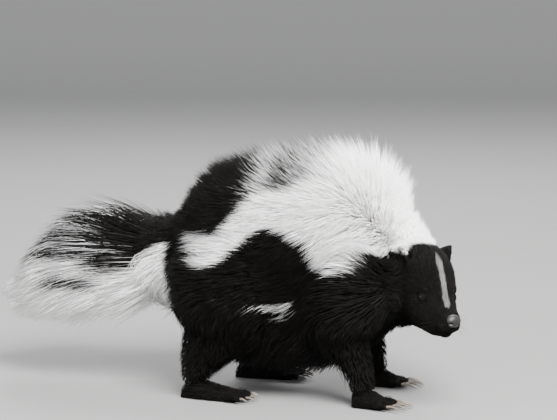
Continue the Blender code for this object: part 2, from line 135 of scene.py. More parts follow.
class Finish:
    """A material, and the one way in which nodes are added to it."""

    def __init__(self, name):
        self.material = bpy.data.materials.new(name)
        self.material.use_nodes = True
        self.tree = self.material.node_tree
        self.shader = self.tree.nodes["Principled BSDF"]

    def node(self, kind, settings=(), inputs=(), output=0):
        """Adds a node: its settings first, then values or links for its sockets."""
        made = self.tree.nodes.new(kind)
        for name, value in dict(settings).items():
            setattr(made, name, value)
        for name, value in dict(inputs).items():
            self.feed(made.inputs[name], value)
        return Number(self.tree, made.outputs[output])

    def feed(self, socket, value):
        if isinstance(value, Number):
            self.tree.links.new(value.socket, socket)
        elif isinstance(value, tuple) and len(value) == 3 and socket.type == "RGBA":
            socket.default_value = (*value, 1)
        else:
            socket.default_value = value

    def attribute(self, name):
        return self.node("ShaderNodeAttribute", {"attribute_name": name}, output="Fac")

    def noise(self, place, scale, detail=3.0, roughness=0.5):
        inputs = {"Vector": place, "Scale": scale, "Detail": detail, "Roughness": roughness}
        return self.node("ShaderNodeTexNoise", {}, inputs, "Fac")

    def mix(self, share, first, second):
        """A blend of two colours. Inputs of each kind of data share their names, so they go by number."""
        return self.node("ShaderNodeMix", {"data_type": "RGBA"}, {0: share, 6: first, 7: second}, 2)

    def relief(self, height, distance, strength=1.0):
        inputs = {"Height": height, "Distance": distance, "Strength": strength}
        self.feed(self.shader.inputs["Normal"], self.node("ShaderNodeBump", {}, inputs, "Normal"))

    def wear(self, **values):
        """Sets the shader's own sockets."""
        for name, value in values.items():
            self.feed(self.shader.inputs[name.replace("_", " ")], value)
        return self.material


def as_mesh(name, shape):
    """The mesh of a shape that is finished with."""
    mesh = bpy.data.meshes.new(name)
    shape.to_mesh(mesh)
    shape.free()
    return mesh


def add_piece(name, mesh, material, slot=None):
    """An object in the scene. With a slot, it is a piece of the animal, and moves with its one body."""
    made = bpy.data.objects.new(name, mesh)
    mesh.materials.append(material)
    bpy.context.scene.collection.objects.link(made)
    if slot:
        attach(made, "root")
    return made


def paper_sweep():
    """Floor and wall in one bent sheet, square to the camera."""
    wide, front, back, bend, high, steps = 6.0, -4.0, 3.2, 1.4, 3.0, 12
    profile = [(front, 0.0), (back, 0.0)]
    for k in range(1, steps + 1):
        turn = math.pi / 2 * k / steps
        profile.append((back + bend * math.sin(turn), bend * (1 - math.cos(turn))))
    profile.append((back + bend, high + bend))
    sheet = bmesh.new()
    for depth, rise in profile:
        for side in (-wide, wide):
            sheet.verts.new((side, depth, rise))
    corners = sheet.verts[:]
    for k in range(0, len(corners) - 2, 2):
        sheet.faces.new((corners[k], corners[k + 1], corners[k + 3], corners[k + 2])).smooth = True
    bmesh.ops.rotate(sheet, verts=corners, cent=(0, 0, 0), matrix=Matrix.Rotation(CAMERA_TURN, 3, "Z"))
    paper = Finish("paper")
    place = paper.node("ShaderNodeTexCoord", output="Object")
    paper.relief(paper.noise(place, 900.0), 0.0002, 0.2)
    paper.wear(Base_Color=(0.205, 0.2035, 0.200), Roughness=0.9)
    add_piece("floor", as_mesh("floor", sheet), paper.material)


paper_sweep()


# ---------------------------------------------------------------------------- the flesh
# The animal under its coat: trunk, neck, dock of the tail, legs and feet, and next the head. Each is lofted
# through sections across it, to be fused into one closed surface with no seams.

MID_TRUNK = 0.0466  # x of the middle of the trunk

Length = namedtuple("Length", "name rows")
lengths = []
flesh = bmesh.new()


def upright(top, bottom, wide, heading=0.0):
    """A section as twelve numbers: its centre and three half-axes, up, down and to the left."""
    top, bottom = np.array(top, float), np.array(bottom, float)
    centre = (top + bottom) / 2
    side = np.array((-math.sin(heading), math.cos(heading), 0)) * wide
    return np.concatenate([centre, top - centre, bottom - centre, side])


def across_limb(joints):
    """Sections across a limb, from the x, y, z, half-width and half-depth at each joint."""
    rows = []
    for i, (*place, wide, deep) in enumerate(joints):
        before = np.array(joints[max(i - 1, 0)][:3])
        after = np.array(joints[min(i + 1, len(joints) - 1)][:3])
        along = (after - before) / np.linalg.norm(after - before)
        side = np.cross(np.cross((0, 1, 0), along), along)
        side /= np.linalg.norm(side)
        front = np.cross(side, along) * deep
        rows.append(np.concatenate([place, front, -front, side * wide]))
    return rows


def between(rows, steps):
    """The rows, with steps - 1 more between each two on a Catmull-Rom curve."""
    rows = np.array(rows)
    padded = np.vstack([2 * rows[0] - rows[1], rows, 2 * rows[-1] - rows[-2]])
    made = []
    for a, b, c, d in zip(padded, padded[1:], padded[2:], padded[3:]):
        for t in np.arange(steps) / steps:
            squared = (2 * a - 5 * b + 4 * c - d) * t**2 / 2
            cubed = (3 * b - a - 3 * c + d) * t**3 / 2
            made.append(b + (c - a) * t / 2 + squared + cubed)
    return np.array([*made, rows[-1]])


def dome(rows, reach, rings=4):
    """The rows that round off the last one, and the pole past them."""
    along = rows[-1][:3] - rows[-2][:3]
    along /= np.linalg.norm(along)
    made = []
    for k in range(1, rings + 1):
        turn = math.pi / 2 * k / (rings + 1)
        row = rows[-1].copy()
        row[:3] += along * reach * math.sin(turn)
        row[3:] *= math.cos(turn)
        made.append(row)
    return made, rows[-1][:3] + along * reach


def add_loft(rows, reach, sides=28, fullness=2.1, place=None):
    """Adds a closed length of flesh through the rows, with domed ends. A fullness of 2 is an oval."""
    front, front_pole = dome(rows[::-1], reach[0])
    back, back_pole = dome(rows, reach[1])
    rows = np.vstack([front[::-1], rows, back])
    turns = 2 * np.pi * np.arange(sides) / sides
    rise = np.sign(np.cos(turns)) * np.abs(np.cos(turns)) ** (2 / fullness)
    out = np.sign(np.sin(turns)) * np.abs(np.sin(turns)) ** (2 / fullness)
    loops = []
    for row in rows:
        lift = np.maximum(rise, 0)[:, None] * row[3:6] + np.maximum(-rise, 0)[:, None] * row[6:9]
        points = row[:3] + lift + out[:, None] * row[9:12]
        loops.append([flesh.verts.new(point) for point in points])
    made = [vertex for loop in loops for vertex in loop]
    faces = []
    for a, b in zip(loops, loops[1:]):
        for k in range(sides):
            faces.append(flesh.faces.new((a[k], a[k - 1], b[k - 1], b[k])))
    for pole, loop in ((front_pole, loops[0]), (back_pole, loops[-1])):
        tip = flesh.verts.new(pole)
        made.append(tip)
        for k in range(sides):
            faces.append(flesh.faces.new((loop[k], loop[k - 1], tip)))
    bmesh.ops.recalc_face_normals(flesh, faces=faces)
    if place:
        bmesh.ops.transform(flesh, matrix=place, verts=made)


def add_ball(centre, radii, place):
    turn = place @ Matrix.Translation(centre) @ Matrix.Diagonal((*radii, 1))
    bmesh.ops.create_uvsphere(flesh, u_segments=28, v_segments=18, radius=1, matrix=turn)


def trunk_rows():
    """Rump to chest, inside the coat: x, top, bottom and half-width, from the middle of the trunk."""
    outline = [
        (-0.100, 0.150, 0.095, 0.028),
        (-0.090, 0.168, 0.080, 0.042),
        (-0.075, 0.182, 0.066, 0.052),
        (-0.055, 0.190, 0.056, 0.058),
        (-0.025, 0.194, 0.048, 0.060),
        (0.000, 0.194, 0.046, 0.060),
        (0.030, 0.193, 0.048, 0.058),
        (0.058, 0.190, 0.052, 0.054),
        (0.080, 0.182, 0.058, 0.048),
        (0.098, 0.168, 0.066, 0.040),
        (0.110, 0.152, 0.082, 0.028),
    ]
    rows = [upright((x + MID_TRUNK, 0, top), (x + MID_TRUNK, 0, low), wide) for x, top, low, wide in outline]
    return between(rows, 3)


def neck_rows():
    """Shoulders to skull, turning to the right: x, y, top, bottom, half-width and heading."""
    outline = [
        (0.070, 0.000, 0.182, 0.078, 0.046, 0),
        (0.098, -0.001, 0.168, 0.076, 0.039, -8),
        (0.115, -0.004, 0.156, 0.080, 0.034, -22),
        (0.127, -0.009, 0.149, 0.086, 0.030, -38),
        (0.134, -0.015, 0.142, 0.092, 0.026, -46),
    ]
    rows = [
        upright((x + MID_TRUNK, y, top), (x + MID_TRUNK, y, low), wide, math.radians(turn))
        for x, y, top, low, wide, turn in outline
    ]
    return between(rows, 3)


TAIL_SPINE = [  # x, y, z and the dock's radius
    (-0.0374, 0.0000, 0.1400, 0.0170),
    (-0.0564, 0.0008, 0.1300, 0.0150),
    (-0.0854, 0.0032, 0.1225, 0.0130),
    (-0.1134, 0.0057, 0.1210, 0.0115),
    (-0.1414, 0.0081, 0.1210, 0.0100),
    (-0.1654, 0.0102, 0.1150, 0.0085),
    (-0.1894, 0.0123, 0.1070, 0.0065),
]

LEGS = {  # sections through the flesh, foot last: x, y, z, half-width and half-depth
    "fore_right": [
        (0.1326, -0.042, 0.116, 0.0270, 0.0290),
        (0.1176, -0.055, 0.078, 0.0205, 0.0230),
        (0.1196, -0.052, 0.063, 0.0150, 0.0175),
        (0.1306, -0.050, 0.042, 0.0102, 0.0112),
        (0.1360, -0.048, 0.018, 0.0086, 0.0092),
    ],
    "fore_left": [
        (0.1246, 0.040, 0.116, 0.0270, 0.0290),
        (0.1066, 0.053, 0.078, 0.0205, 0.0230),
        (0.1086, 0.050, 0.063, 0.0150, 0.0175),
        (0.1196, 0.048, 0.042, 0.0102, 0.0112),
        (0.1250, 0.046, 0.018, 0.0086, 0.0092),
    ],
    "hind_right": [
        (-0.0114, -0.047, 0.124, 0.0330, 0.0350),
        (0.0006, -0.058, 0.080, 0.0250, 0.0310),
        (-0.0034, -0.056, 0.064, 0.0180, 0.0240),
        (-0.0184, -0.054, 0.043, 0.0132, 0.0170),
        (-0.0270, -0.051, 0.020, 0.0096, 0.0096),
    ],
    "hind_left": [
        (-0.0014, 0.047, 0.124, 0.0330, 0.0350),
        (0.0206, 0.058, 0.080, 0.0250, 0.0310),
        (0.0206, 0.055, 0.064, 0.0180, 0.0240),
        (0.0046, 0.053, 0.043, 0.0132, 0.0170),
        (-0.0040, 0.050, 0.020, 0.0096, 0.0096),
    ],
}

Paw = namedtuple("Paw", "heel heading rows")  # rows: how far ahead of the heel, top and half-width

FORE_PAW = [(0.000, 0.0150, 0.0086), (0.011, 0.0162, 0.0098), (0.023, 0.0112, 0.0102)]
HIND_PAW = [
    (0.002, 0.0085, 0.0062),
    (0.009, 0.0150, 0.0088),
    (0.018, 0.0162, 0.0102),
    (0.038, 0.0124, 0.0106),
    (0.053, 0.0102, 0.0106),
]
PAWS = {
    "fore_right": Paw((0.1306, -0.048), math.radians(-6), FORE_PAW),
    "fore_left": Paw((0.1196, 0.046), math.radians(4), FORE_PAW),
    "hind_right": Paw((-0.0384, -0.051), math.radians(-5), HIND_PAW),
    "hind_left": Paw((-0.0154, 0.050), math.radians(5), HIND_PAW),
}
SOLE = 0.0004  # the flat underside's height
TOE_SPREAD = math.radians(9)
TOE_LENGTH = 0.0130
TOE_RADIUS = 0.0023
CLAW_SUNK = 0.0015  # how far a claw's root lies inside its toe


def claw_places(place):
    """For each toe, where its claw leaves it and the way it points, read from the frame's claw."""
    found = []
    for k in range(5):
        low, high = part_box(f"claw_{place}_{k + 1}")
        turn = PAWS[place].heading + TOE_SPREAD * (k / 2 - 1)
        way = Vector((math.cos(turn), math.sin(turn), 0))
        root = Vector((low.x, (low.y + high.y) / 2, (low.z + high.z) / 2)) - way * CLAW_SUNK
        root.y -= way.y * (high.x - low.x) / 2
        found.append((root, way, high.x - low.x))
    return found


def add_length(name, rows, reach, sides, fullness=2.1):
    """Adds a loft, and keeps its sections, which the coat is laid along."""
    add_loft(rows, reach, sides, fullness)
    lengths.append(Length(name, rows))


def foot_rows(paw):
    """Heel to the toes' roots. The sections reach below the floor, where the sole is cut flat."""
    below = -0.002
    way = np.array((math.cos(paw.heading), math.sin(paw.heading)))
    rows = []
    for ahead, top, wide in paw.rows:
        x, y = np.array(paw.heel) + way * ahead / way[0]
        rows.append(upright((x, y, top), (x, y, below), wide, paw.heading))
    return between(rows, 4)


def add_toes(place):
    knuckle_rise = Vector((0, 0, 0.0012))
    for root, way, _ in claw_places(place):
        start = root - way * TOE_LENGTH
        knuckle = root - way * TOE_LENGTH * 0.45 + knuckle_rise
        toe = [
            (*start, TOE_RADIUS, TOE_RADIUS),
            (*knuckle, TOE_RADIUS * 1.05, TOE_RADIUS * 1.1),
            (*root, TOE_RADIUS * 0.85, TOE_RADIUS * 0.85),
        ]
        add_loft(between(across_limb(toe), 3), (0.001, 0.0014), 14)


add_length("trunk", trunk_rows(), (0.008, 0.008), 44, 2.2)
add_length("neck", neck_rows(), (0.006, 0.006), 36)
dock_joints = [(x, y, z, radius, radius) for x, y, z, radius in TAIL_SPINE]
add_length("tail", between(across_limb(dock_joints), 3), (0.004, 0.005), 24)
for place, joints in LEGS.items():
    add_length("leg", between(across_limb(joints), 4), (0.016, 0.006), 24)
    add_length("paw", foot_rows(PAWS[place]), (0.005, 0.004), 24, 2.3)
    add_toes(place)


# ---------------------------------------------------------------------------- the head
# A small wedge of a head: a blunt muzzle, whisker pads, low brows over small eyes set wide, full cheeks, and
# short round ears low on the sides. It is made about the nose tip, facing +X, and then turned into place.

NOSE_TIP = Vector((0.1809 + MID_TRUNK, -0.0700, 0.0873))
HEAD = (
    Matrix.Translation(NOSE_TIP)
    @ Matrix.Rotation(math.radians(-47), 4, "Z")
    @ Matrix.Rotation(math.radians(18), 4, "Y")
    @ Matrix.Rotation(math.radians(-5.5), 4, "X")
)
EYE_RADIUS = 0.0046
EYE = Vector((-0.0388, 0.0154, 0.0076))
EYE_LOOK = Vector((0.46, 0.84, 0.26)).normalized()
EAR = Vector((-0.0765, 0.0258, 0.0276))
EAR_LOOK = Vector((0.60, 0.77, 0.20)).normalized()
NOSE_PAD = Vector((-0.0056, 0.0, 0.0004))
SWELLINGS = [  # centre and radii, for the left side
    ((-0.0135, 0.0054, -0.0062), (0.0095, 0.0064, 0.0066)),  # whisker pad
    ((-0.0425, 0.0150, 0.0152), (0.0072, 0.0042, 0.0040)),  # brow
    ((-0.0660, 0.0165, -0.0050), (0.0188, 0.0105, 0.0170)),  # jaw muscle
]
CHIN = (-0.0165, 0, -0.0148), (0.0098, 0.0068, 0.0048)


def mirrored(point, sign):
    """A place on the head's left, or for a sign of -1 its match on the right."""
    return Vector((point[0], point[1] * sign, point[2]))


def skull_rows():
    """Nose to nape: x behind the nose tip, top, bottom and half-width."""
    outline = [
        (-0.0040, 0.0052, -0.0096, 0.0072),
        (-0.0095, 0.0071, -0.0148, 0.0100),
        (-0.0160, 0.0085, -0.0198, 0.0121),
        (-0.0235, 0.0118, -0.0229, 0.0141),
        (-0.0320, 0.0187, -0.0243, 0.0169),
        (-0.0400, 0.0256, -0.0250, 0.0204),
        (-0.0500, 0.0322, -0.0262, 0.0239),
        (-0.0610, 0.0370, -0.0268, 0.0260),
        (-0.0720, 0.0388, -0.0268, 0.0264),
        (-0.0820, 0.0372, -0.0252, 0.0252),
        (-0.0920, 0.0316, -0.0216, 0.0222),
    ]
    return between([upright((x, 0, top), (x, 0, low), wide) for x, top, low, wide in outline], 3)


def add_ear(sign):
    """A low cup, thick at the root and thin at its rolled rim, with a notch at the front."""
    profile = [  # out from the axis and up it: the back of the cup, the rim, and the hollow
        (0.0046, -0.0120),
        (0.0064, -0.0082),
        (0.0081, -0.0044),
        (0.0092, -0.0006),
        (0.0098, 0.0022),
        (0.0094, 0.0037),
        (0.0085, 0.0033),
        (0.0076, 0.0006),
        (0.0056, -0.0028),
        (0.0028, -0.0046),
    ]
    opening = mirrored(EAR_LOOK, sign).to_track_quat("Z", "Y").to_matrix().to_4x4()
    place = HEAD @ Matrix.Translation(mirrored(EAR, sign)) @ opening
    sides, more_above, notch = 30, 0.42, 0.0018
    loops = []
    for out, up in profile:
        loop = []
        for k in range(sides):
            turn = 2 * math.pi * k / sides
            taller = 1 + more_above * max(0.0, math.sin(turn)) ** 1.5 * min(1.0, (up + 0.0120) / 0.0130)
            dip = notch * max(0.0, -math.sin(turn)) ** 2 if up > 0 else 0.0
            loop.append(flesh.verts.new((out * math.cos(turn), out * taller * math.sin(turn), up - dip)))
        loops.append(loop)
    faces = []
    for a, b in zip(loops, loops[1:]):
        for k in range(sides):
            faces.append(flesh.faces.new((a[k - 1], a[k], b[k], b[k - 1])))
    faces.append(flesh.faces.new(loops[0]))
    faces.append(flesh.faces.new(loops[-1]))
    bmesh.ops.recalc_face_normals(flesh, faces=faces)
    bmesh.ops.transform(flesh, matrix=place, verts=[vertex for loop in loops for vertex in loop])


def build_head():
    rows = skull_rows()
    add_loft(rows, (0.0020, 0.0060), 40, 2.25, HEAD)
    turn = np.array(HEAD)
    moved = np.hstack([rows[:, k : k + 3] @ turn[:3, :3].T for k in (0, 3, 6, 9)])
    moved[:, :3] += turn[:3, 3]
    lengths.append(Length("head", moved))
    for sign in (1, -1):
        for centre, radii in SWELLINGS:
            add_ball(mirrored(centre, sign), radii, HEAD)
        add_ear(sign)
    add_ball(*CHIN, HEAD)


build_head()


# ---------------------------------------------------------------------------- the skin
# One hide over all of it, black where the coat is black and pale where it is white, with lids round the eyes,
# a lipped mouth and the flat fur of the face as relief. It stands for every solid of flesh in the frame.

VOXEL = 0.0010  # the fused flesh's fineness
KEPT = 0.36  # the share of its faces kept away from the head and feet
FLESH_NODES = ["rump", "loin", "chest", "neck", "head", "muzzle", "lower_jaw", "ear_left", "ear_right"]
FLESH_NODES += ["tail_base", "tail_middle", "tail_end"]
FLESH_NODES += [f"{part}_{place}" for place in LEGS for part in ("upper", "lower", "paw")]


def evaluated_mesh(mesh, chosen=(), **modifiers):
    """The mesh as modifiers leave it, each named by its type. A group "chosen" holds the chosen points."""
    made = bpy.data.objects.new("working", mesh)
    bpy.context.scene.collection.objects.link(made)
    if len(chosen):
        made.vertex_groups.new(name="chosen").add([int(k) for k in chosen], 1.0, "REPLACE")
    for kind, settings in modifiers.items():
        modifier = made.modifiers.new(kind, kind)
        for name, value in settings.items():
            setattr(modifier, name, value)
    graph = bpy.context.evaluated_depsgraph_get()
    result = bpy.data.meshes.new_from_object(made.evaluated_get(graph))
    bpy.data.objects.remove(made)
    return result


def read(collection, name, width, kind=np.float32):
    """A mesh's values as rows of so many numbers."""
    values = np.empty(len(collection) * width, kind)
    collection.foreach_get(name, values)
    return values.reshape(-1, width) if width > 1 else values


def unit(vectors):
    return vectors / np.maximum(np.linalg.norm(vectors, axis=-1, keepdims=True), 1e-9)


def smooth_step(low, high, value):
    """0 at low and before it, 1 at high and past it, and eased between. Low may be the larger of the two."""
    t = np.clip((value - low) / (high - low), 0, 1)
    return t * t * (3 - 2 * t)


class Web:
    """A mesh's points, and who neighbours whom."""

    def __init__(self, mesh):
        self.points = read(mesh.vertices, "co", 3).astype(float)
        edges = read(mesh.edges, "vertices", 2, np.int32)
        self.ends = np.concatenate([edges[:, 0], edges[:, 1]])
        self.others = np.concatenate([edges[:, 1], edges[:, 0]])
        self.degree = np.maximum(np.bincount(self.ends, minlength=len(self.points)), 1)

    def mean(self, values):
        """Each point's neighbours' mean."""
        if values.ndim == 1:
            return np.bincount(self.ends, values[self.others], len(self.points)) / self.degree
        return np.stack([self.mean(column) for column in values.T], 1)

    def relax(self, rounds, strength=1.0):
        """Smooths the points in pairs of steps, in and out again, so that nothing shrinks."""
        for _ in range(rounds):
            for step in (0.55, -0.57):
                self.points += (self.mean(self.points) - self.points) * step * np.reshape(strength, (-1, 1))


def eye_axes(sign):
    """An eye's middle, the way that it looks, and the axes along and across its lids, in the frame."""
    centre = HEAD @ mirrored(EYE, sign)
    out = (HEAD.to_3x3() @ mirrored(EYE_LOOK, sign)).normalized()
    along = HEAD.to_3x3() @ Vector((0.90, -0.32 * sign, -0.22))
    along = (along - out * along.dot(out)).normalized()
    return centre, out, along, out.cross(along).normalized()


def draw_lids(points):
    """Wraps the skin over each eyeball, and turns it in under the ball inside an almond opening. Its half
    sizes are parts of the eye's radius, and points near its rim are drawn to it."""
    long, high, lid, tuck = 0.68, 0.36, 0.0005, 0.0008
    rim, catch, slack = 1.03, 0.16, 0.25
    for sign in (1, -1):
        centre, out, along, across = (np.array(v) for v in eye_axes(sign))
        away = points - centre
        reach = np.linalg.norm(away, axis=1)
        near = np.where(reach < EYE_RADIUS * 2.2)[0]
        way = away[near] / reach[near, None]
        facing, a, b = way @ out, way @ along, way @ across
        ring = np.sqrt((a / long) ** 2 + (b / high) ** 2)
        drawn = (rim + (ring - rim) * slack) / np.maximum(ring, 1e-6)
        snap = np.where(np.abs(ring - rim) < catch, drawn, 1.0)
        a, b = a * snap, b * snap
        ring = ring * snap
        ahead = np.sqrt(np.clip(1 - a**2 - b**2, 0.01, 1))
        way = unit(a[:, None] * along + b[:, None] * across + ahead[:, None] * out)
        over = 1 - smooth_step(1.35, 2.4, ring)
        wrapped = EYE_RADIUS + lid * (1 + 0.35 * (b > 0))  # the upper lid is the thicker
        new = reach[near] * (1 - over) + wrapped * over
        new = np.where(ring < 1.0, EYE_RADIUS - tuck, new)
        use = facing > 0.05
        points[near[use]] = centre + way[use] * new[use, None]


FAR_OFF = 0.035


def gap_to(points, line):
    """How far points are from a line through places given in the head's axes. Past FAR_OFF of it, 1."""
    line = [HEAD @ Vector(place) for place in line]
    dense = [a.lerp(b, k / 8) for a, b in zip(line, line[1:]) for k in range(8)]
    tree = KDTree(len(dense))
    for index, place in enumerate(dense):
        tree.insert(place, index)
    tree.balance()
    gaps = np.full(len(points), 1.0)
    from_middle = np.linalg.norm(points - np.mean([list(p) for p in dense], 0), axis=1)
    for k in np.where(from_middle < FAR_OFF)[0]:
        gaps[k] = tree.find(points[k])[2]
    return gaps


def groove(points, normals, line, wide, deep):
    """Presses a fine furrow along such a line."""
    points -= normals * (deep * np.exp(-((gap_to(points, line) / wide) ** 2)))[:, None]


def mouth_line(sign):
    """From under the nose, over the lip's peak and back to the corner."""
    return [
        (-0.0026, 0.0, -0.0072),
        (-0.0030, 0.0034 * sign, -0.0100),
        (-0.0058, 0.0068 * sign, -0.0128),
        (-0.0110, 0.0096 * sign, -0.0146),
        (-0.0180, 0.0116 * sign, -0.0150),
        (-0.0260, 0.0138 * sign, -0.0142),
        (-0.0340, 0.0164 * sign, -0.0130),
        (-0.0410, 0.0190 * sign, -0.0118),
    ]


def in_head_axes(points):
    back = np.array(HEAD.inverted())
    return points @ back[:3, :3].T + back[:3, 3]


def split_faces(mesh, chosen):
    """Divides the chosen faces once."""
    shape = bmesh.new()
    shape.from_mesh(mesh)
    shape.faces.ensure_lookup_table()
    edges = {edge for index in chosen for edge in shape.faces[index].edges}
    bmesh.ops.subdivide_edges(shape, edges=list(edges), cuts=1, use_grid_fill=True)
    bmesh.ops.triangulate(shape, faces=shape.faces)
    shape.to_mesh(mesh)
    shape.free()


def skin_mesh():
    """The flesh as one surface, smooth over the body, and thinned there. Head and feet keep their detail."""
    mesh = evaluated_mesh(as_mesh("flesh", flesh), REMESH={"mode": "VOXEL", "voxel_size": VOXEL})
    web = Web(mesh)
    local = in_head_axes(web.points)
    on_head = (local[:, 0] > -0.10) & (np.abs(local[:, 1]) < 0.045) & (np.abs(local[:, 2]) < 0.045)
    on_foot = web.points[:, 2] < 0.024
    detailed = on_head | on_foot
    web.relax(6, np.where(detailed, 0.55, 1.0))
    web.relax(30, np.where(detailed, 0.0, 1.0))
    mesh.vertices.foreach_set("co", web.points.ravel())
    return evaluated_mesh(mesh, np.where(~detailed)[0], DECIMATE={"ratio": KEPT, "vertex_group": "chosen"})


def finer_face(mesh):
    """Smaller faces where the lids, lips and nostrils are drawn."""
    centres = read(mesh.polygons, "center", 3).astype(float)
    local = in_head_axes(centres)
    wanted = local[:, 0] > -0.024
    for sign in (1, -1):
        wanted |= np.linalg.norm(local - np.array(mirrored(EYE, sign)), axis=1) < 0.0095
    mouth = (local[:, 0] > -0.046) & (np.abs(local[:, 2] + 0.0138) < 0.004) & (np.abs(local[:, 1]) > 0.008)
    wanted |= mouth
    wanted &= (np.abs(local[:, 1]) < 0.03) & (np.abs(local[:, 2]) < 0.03)
    split_faces(mesh, [int(k) for k in np.where(wanted)[0]])


def draw_face(mesh):
    """Cuts the mouth and the lids into the skin, and flattens the soles."""
    finer_face(mesh)
    web = Web(mesh)
    normals = read(mesh.vertices, "normal", 3).astype(float)
    under_nose = [(-0.0015, 0, -0.0045), (-0.0030, 0, -0.0070)]
    for sign in (1, -1):
        groove(web.points, normals, mouth_line(sign), wide=0.0008, deep=0.0014)
    groove(web.points, normals, under_nose, wide=0.0006, deep=0.0006)
    draw_lids(web.points)
    web.points[:, 2] = np.maximum(web.points[:, 2], SOLE)
    mesh.vertices.foreach_set("co", web.points.ravel())
    mesh.update()
    return web


skin_shape = skin_mesh()
skin_web = draw_face(skin_shape)
skin_shape.shade_smooth()


# ---------------------------------------------------------------------------- the lie of the coat
# How the hair grows: which way it lies at each point of the skin, how far out it reaches and how it leans.
# It runs back from the nose, down the legs, and stands up along the back. Its reach is read from the frame.

OUTLINE_VOXEL = 0.0030


def outline_tree(names):
    """The outside of some of the frame's solids, fused, to measure against."""
    joined = bmesh.new()
    for name in names:
        joined.from_mesh(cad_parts[name].data)
    bmesh.ops.remove_doubles(joined, verts=joined.verts, dist=0.00001)
    fused = evaluated_mesh(as_mesh("outline", joined), REMESH={"mode": "VOXEL", "voxel_size": OUTLINE_VOXEL})
    web = Web(fused)
    web.relax(6)
    fused.vertices.foreach_set("co", web.points.ravel())
    holder = bmesh.new()
    holder.from_mesh(fused)
    tree = BVHTree.FromBMesh(holder)
    holder.free()
    return tree


def nearness(points):
    """For each length, every point's distance from its middle line in radii, and how far along it that is."""
    found = []
    for length in lengths:
        line = length.rows[:, :3]
        tall, wide = (np.linalg.norm(length.rows[:, k : k + 3], axis=1) for k in (3, 9))
        radius = (tall + wide) / 2
        best = np.full(len(points), 1e9)
        where = np.zeros(len(points))
        way = np.zeros((len(points), 3))
        for k in range(len(line) - 1):
            step = line[k + 1] - line[k]
            t = np.clip((points - line[k]) @ step / (step @ step), 0, 1)
            gap = np.linalg.norm(points - line[k] - t[:, None] * step, axis=1)
            ratio = gap / (radius[k] * (1 - t) + radius[k + 1] * t)
            closer = ratio < best
            best[closer] = ratio[closer]
            where[closer] = (k + t[closer]) / (len(line) - 1)
            way[closer] = step / np.linalg.norm(step)
        found.append((best, where, way))
    return found


points = skin_web.points
kinds = [length.name for length in lengths]
nearby = nearness(points)
closeness = np.stack([np.exp(-14 * (best - 1)) for best, _, _ in nearby])
closeness[[kind != "paw" for kind in kinds]] *= smooth_step(0.012, 0.026, points[:, 2])
closeness /= closeness.sum(0)
share = {
    kind: sum(part for part, name in zip(closeness, kinds) if name == kind) for kind in dict.fromkeys(kinds)
}
local = in_head_axes(points)
trunk_x = points[:, 0] - MID_TRUNK


def from_both(place):
    """Each point's distance from the nearer of two places that mirror each other on the head."""
    return np.minimum(*(np.linalg.norm(local - np.array(mirrored(place, sign)), axis=1) for sign in (1, -1)))


def evened(directions, rounds):
    """The directions, averaged over the skin: widely under long hair, and little on the face and feet."""
    widely = (1 - np.clip(share["head"] + share["paw"], 0, 1))[:, None]
    for k in range(rounds):
        mean = skin_web.mean(directions)
        directions = unit(mean if k < 4 else directions + (mean - directions) * widely)
    return directions


normals = evened(read(skin_shape.vertices, "normal", 3).astype(float), 60)
from_ear = from_both(EAR)
from_eye = from_both(EYE)
height = points[:, 2]
flank = np.abs(normals[:, 1])
BACKWARDS = np.array((-1.0, 0, 0))
DOWN = np.array((0.0, 0.0, -1.0))


def trunk_lie():
    """Back along the body, falling on the shoulders, the buttocks and under the belly."""
    by_height = np.interp(height, [0.060, 0.078, 0.100, 0.128, 0.165], [1.0, -0.15, -0.25, 0.12, 0.50])
    fall = 0.10 + flank * by_height
    shoulder = smooth_step(0.034, 0.066, trunk_x)
    fall += 0.95 * shoulder * smooth_step(0.25, 0.65, flank) * smooth_step(0.080, 0.105, height)
    chest, buttocks = smooth_step(0.4, 0.9, normals[:, 0]), smooth_step(0.5, 0.9, -normals[:, 0])
    fall += chest * np.interp(height, [0.115, 0.145], [2.2, -1.2])
    fall += 0.9 * buttocks + 2.5 * smooth_step(0.078, 0.054, height)
    return BACKWARDS + DOWN * fall[:, None]


def head_lie(way):
    """Back from the nose and down the cheeks, and fanning out from the root of each ear."""
    turn = np.array(HEAD)[:3, :3]
    run = way - turn[:, 2] * (0.30 * smooth_step(0.01, 0.02, np.abs(local[:, 1])))[:, None]
    root = np.array(EAR - EAR_LOOK * 0.012 - Vector((0, 0, 0.010)))
    ones = np.ones(len(local))
    fan = (local - root * np.stack([ones, np.sign(local[:, 1]), ones], 1)) @ turn.T
    near_ear = smooth_step(0.0175, 0.0135, from_ear)[:, None]
    return run * (1 - near_ear) + unit(fan) * near_ear


def leg_lie(way):
    """Down the leg, and back where it joins the body."""
    high = np.maximum(smooth_step(0.080, 0.110, height), smooth_step(0.7, 0.3, share["leg"]))[:, None]
    return way * (1 - high) + (BACKWARDS - 0.02 * DOWN) * high


def lie():
    """The unit direction in which the hair runs at each point, along the skin."""
    ways = {
        "trunk": lambda way: trunk_lie(),
        "neck": lambda way: -way + DOWN * (0.15 + 1.1 * flank)[:, None],
        "head": head_lie,
        "leg": leg_lie,
    }
    total = np.zeros_like(points)
    for part, kind, (_, _, way) in zip(closeness, kinds, nearby):
        run = ways[kind](way) if kind in ways else way
        total += part[:, None] * unit(run)
    total -= normals * (total * normals).sum(1, keepdims=True)
    return evened(unit(total), 24)


def by_kind(**values):
    """A value for each point of the skin, from one for each kind of length."""
    return sum(value * share[kind] for kind, value in values.items())


